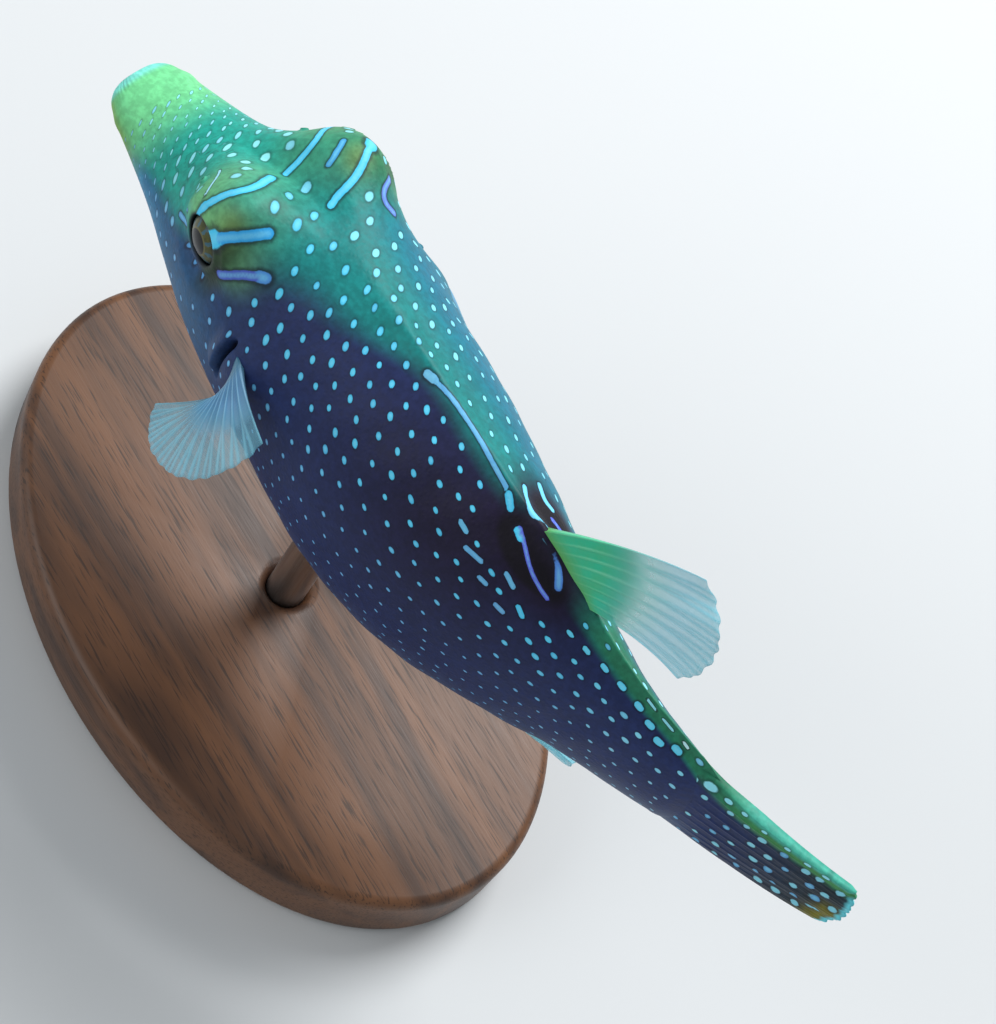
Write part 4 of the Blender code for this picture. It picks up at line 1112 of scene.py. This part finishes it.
# Plain steel, bright grey, brushed along the rod. The lines are drawn 0.1 mm apart, coarser than
# real ones, so that they show. The counts are to the millimetre along X, Y and Z.
BRUSH_LINES = (9.0, 9.0, 0.12)
steel, surface = new_material("brushed_steel", {"Metallic": 1.0})
coords = add_node(steel, "TexCoord", {}, "Object")
brushed = add_node(steel, "Mapping", {"Scale": [n / MM for n in BRUSH_LINES], "Vector": coords})
lines = add_node(steel, "TexNoise", {"Scale": 1.0, "Detail": 2.0, "Vector": brushed})
color = add_node(steel, "Mix", {"data_type": "RGBA", 0: lines, 6: "#A9ABAE", 7: "#D2D3D5"}, 2)
rough = add_node(steel, "MapRange", {"To Min": 0.24, "To Max": 0.42, "Value": lines})
bump = add_node(steel, "Bump", {"Strength": 0.2, "Distance": 0.00001, "Height": lines})
connect(steel, surface, {"Base Color": color, "Roughness": rough, "Normal": bump})
rod.data.materials.append(steel)
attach(rod, "root")
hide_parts("stand_rod")

# Stand base
# An oval cut from one thick board of walnut, its edges rounded over, sanded and oiled. The hole
# for the rod is drilled from above and stops short, so the underside stays flat.
BASE_LENGTH = 70.0
BASE_WIDTH = 46.0
BASE_EDGE = 1.2
BORE_CLEARANCE = 0.03
DRILL_LENGTH = 20.0
bpy.ops.object.select_all(action="DESELECT")
bpy.ops.mesh.primitive_cylinder_add(vertices=160, radius=0.5, depth=BASE_HEIGHT * MM,
                                    location=(0.0, 0.0, BASE_HEIGHT * MM / 2))
base_plate = bpy.context.object
base_plate.name = "base_walnut"
base_plate.scale = (BASE_LENGTH * MM, BASE_WIDTH * MM, 1.0)
bpy.ops.object.transform_apply(location=True, rotation=True, scale=True)
bpy.ops.mesh.primitive_cylinder_add(vertices=64, radius=(ROD_RADIUS + BORE_CLEARANCE) * MM,
                                    depth=DRILL_LENGTH * MM,
                                    location=(0.0, 0.0, (BASE_HEIGHT - SOCKET_DEPTH + DRILL_LENGTH / 2) * MM))
drill = bpy.context.object
bore = base_plate.modifiers.new("bore", "BOOLEAN")
bore.object = drill
bore.solver = "EXACT"
bpy.context.view_layer.objects.active = base_plate
bpy.ops.object.modifier_apply(modifier="bore")
bpy.data.objects.remove(drill)
round_over = base_plate.modifiers.new("round_over", "BEVEL")
round_over.width = BASE_EDGE * MM
round_over.segments = 5
round_over.limit_method = "ANGLE"
round_over.angle_limit = math.radians(60.0)
base_plate.select_set(True)
bpy.ops.object.modifier_apply(modifier="round_over")
bpy.ops.object.shade_smooth_by_angle(angle=math.radians(30.0))
# Walnut: brown bands about 5 mm wide along the grain and open pores 0.2 mm wide and 4 mm long,
# darkened by the oil. The counts are to the millimetre along X, Y and Z.
WALNUT_BANDS = (0.016, 0.19, 0.19)
WALNUT_PORES = (0.26, 5.2, 5.2)
walnut, surface = new_material("oiled_walnut", {})
coords = add_node(walnut, "TexCoord", {}, "Object")
figure = add_node(walnut, "Mapping", {"Scale": [n / MM for n in WALNUT_BANDS], "Vector": coords})
bands = add_node(walnut, "TexNoise", {"Scale": 1.0, "Detail": 3.0, "Distortion": 0.8, "Vector": figure})
fine = add_node(walnut, "Mapping", {"Scale": [n / MM for n in WALNUT_PORES], "Vector": coords})
pores = add_node(walnut, "TexNoise", {"Scale": 1.0, "Detail": 2.0, "Vector": fine})
color = lay_over(walnut, "#3B2416", "#6B4529", bands, 0.32, 0.66)
color = lay_over(walnut, color, "#20120A", pores, 0.54, 0.68, 0.7)
rough = add_node(walnut, "MapRange", {"To Min": 0.36, "To Max": 0.56, "Value": pores})
bump = add_node(walnut, "Bump", {"Strength": 0.25, "Distance": 0.00004, "invert": True, "Height": pores})
connect(walnut, surface, {"Base Color": color, "Roughness": rough, "Normal": bump})
base_plate.data.materials.append(walnut)
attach(base_plate, "root")
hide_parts("stand_base")

# Floor, light and camera
# A plain pale table top under soft light from the upper right, as in the photo, with a weak
# fill from the left. The camera looks from above, behind and the fish's left.
bpy.ops.object.select_all(action="DESELECT")
bpy.ops.mesh.primitive_plane_add(size=6.0, location=(0.0, 0.0, 0.0))
floor = bpy.context.object
floor.name = "floor"
# Matt grey paper laid over the table
paper, surface = new_material("pale_paper", {"Base Color": linear("#CDD0D2"), "Roughness": 0.9})
floor.data.materials.append(paper)


AIM = Vector((0.0, 0.0, 0.045))


def soft_light(name, location, size, energy):
    lamp = bpy.data.lights.new(name, "AREA")
    lamp.shape = "DISK"
    lamp.size = size
    lamp.energy = energy
    made = bpy.data.objects.new(name, lamp)
    made.location = location
    made.rotation_euler = (AIM - Vector(location)).to_track_quat("-Z", "Y").to_euler()
    bpy.context.scene.collection.objects.link(made)


soft_light("key", (-0.10, 0.38, 0.46), 0.35, 4.0)
soft_light("fill", (-0.25, -0.45, 0.35), 0.5, 1.3)
world = bpy.data.worlds.new("studio")
world.use_nodes = True
world.node_tree.nodes["Background"].inputs["Color"].default_value = linear("#E6EBEE")
world.node_tree.nodes["Background"].inputs["Strength"].default_value = 0.5
bpy.context.scene.world = world

PHOTO_WIDTH = 996
PHOTO_HEIGHT = 1024
FOCAL_PIXELS = 3600.0
AIM_X_PIXELS = 390.5
AIM_Y_PIXELS = 431.5
CAMERA_AZIMUTH = 27.5
CAMERA_ELEVATION = 60.7
CAMERA_ROLL = 33.7
CAMERA_DISTANCE = 0.3208
SENSOR_HEIGHT = 36.0
azimuth, elevation, roll = [math.radians(x) for x in (CAMERA_AZIMUTH, CAMERA_ELEVATION, CAMERA_ROLL)]
level = math.cos(elevation)
back = Vector((math.sin(azimuth) * level, -math.cos(azimuth) * level, math.sin(elevation)))
up = (Vector((0.0, 0.0, 1.0)) - back * back.z).normalized()
right = up.cross(back)
turned_right = right * math.cos(roll) + up * math.sin(roll)
turned_up = up * math.cos(roll) - right * math.sin(roll)
lens = bpy.data.cameras.new("camera")
lens.sensor_fit = "VERTICAL"
lens.sensor_height = SENSOR_HEIGHT
lens.lens = FOCAL_PIXELS / PHOTO_HEIGHT * SENSOR_HEIGHT
lens.shift_x = (PHOTO_WIDTH / 2 - AIM_X_PIXELS) / PHOTO_HEIGHT
lens.shift_y = -(PHOTO_HEIGHT / 2 - AIM_Y_PIXELS) / PHOTO_HEIGHT
lens.clip_start = 0.01
camera = bpy.data.objects.new("camera", lens)
pose = Matrix((turned_right, turned_up, back)).transposed().to_4x4()
pose.translation = AIM + back * CAMERA_DISTANCE
camera.matrix_world = pose
bpy.context.scene.collection.objects.link(camera)
bpy.context.scene.camera = camera
bpy.context.scene.view_settings.view_transform = "Standard"
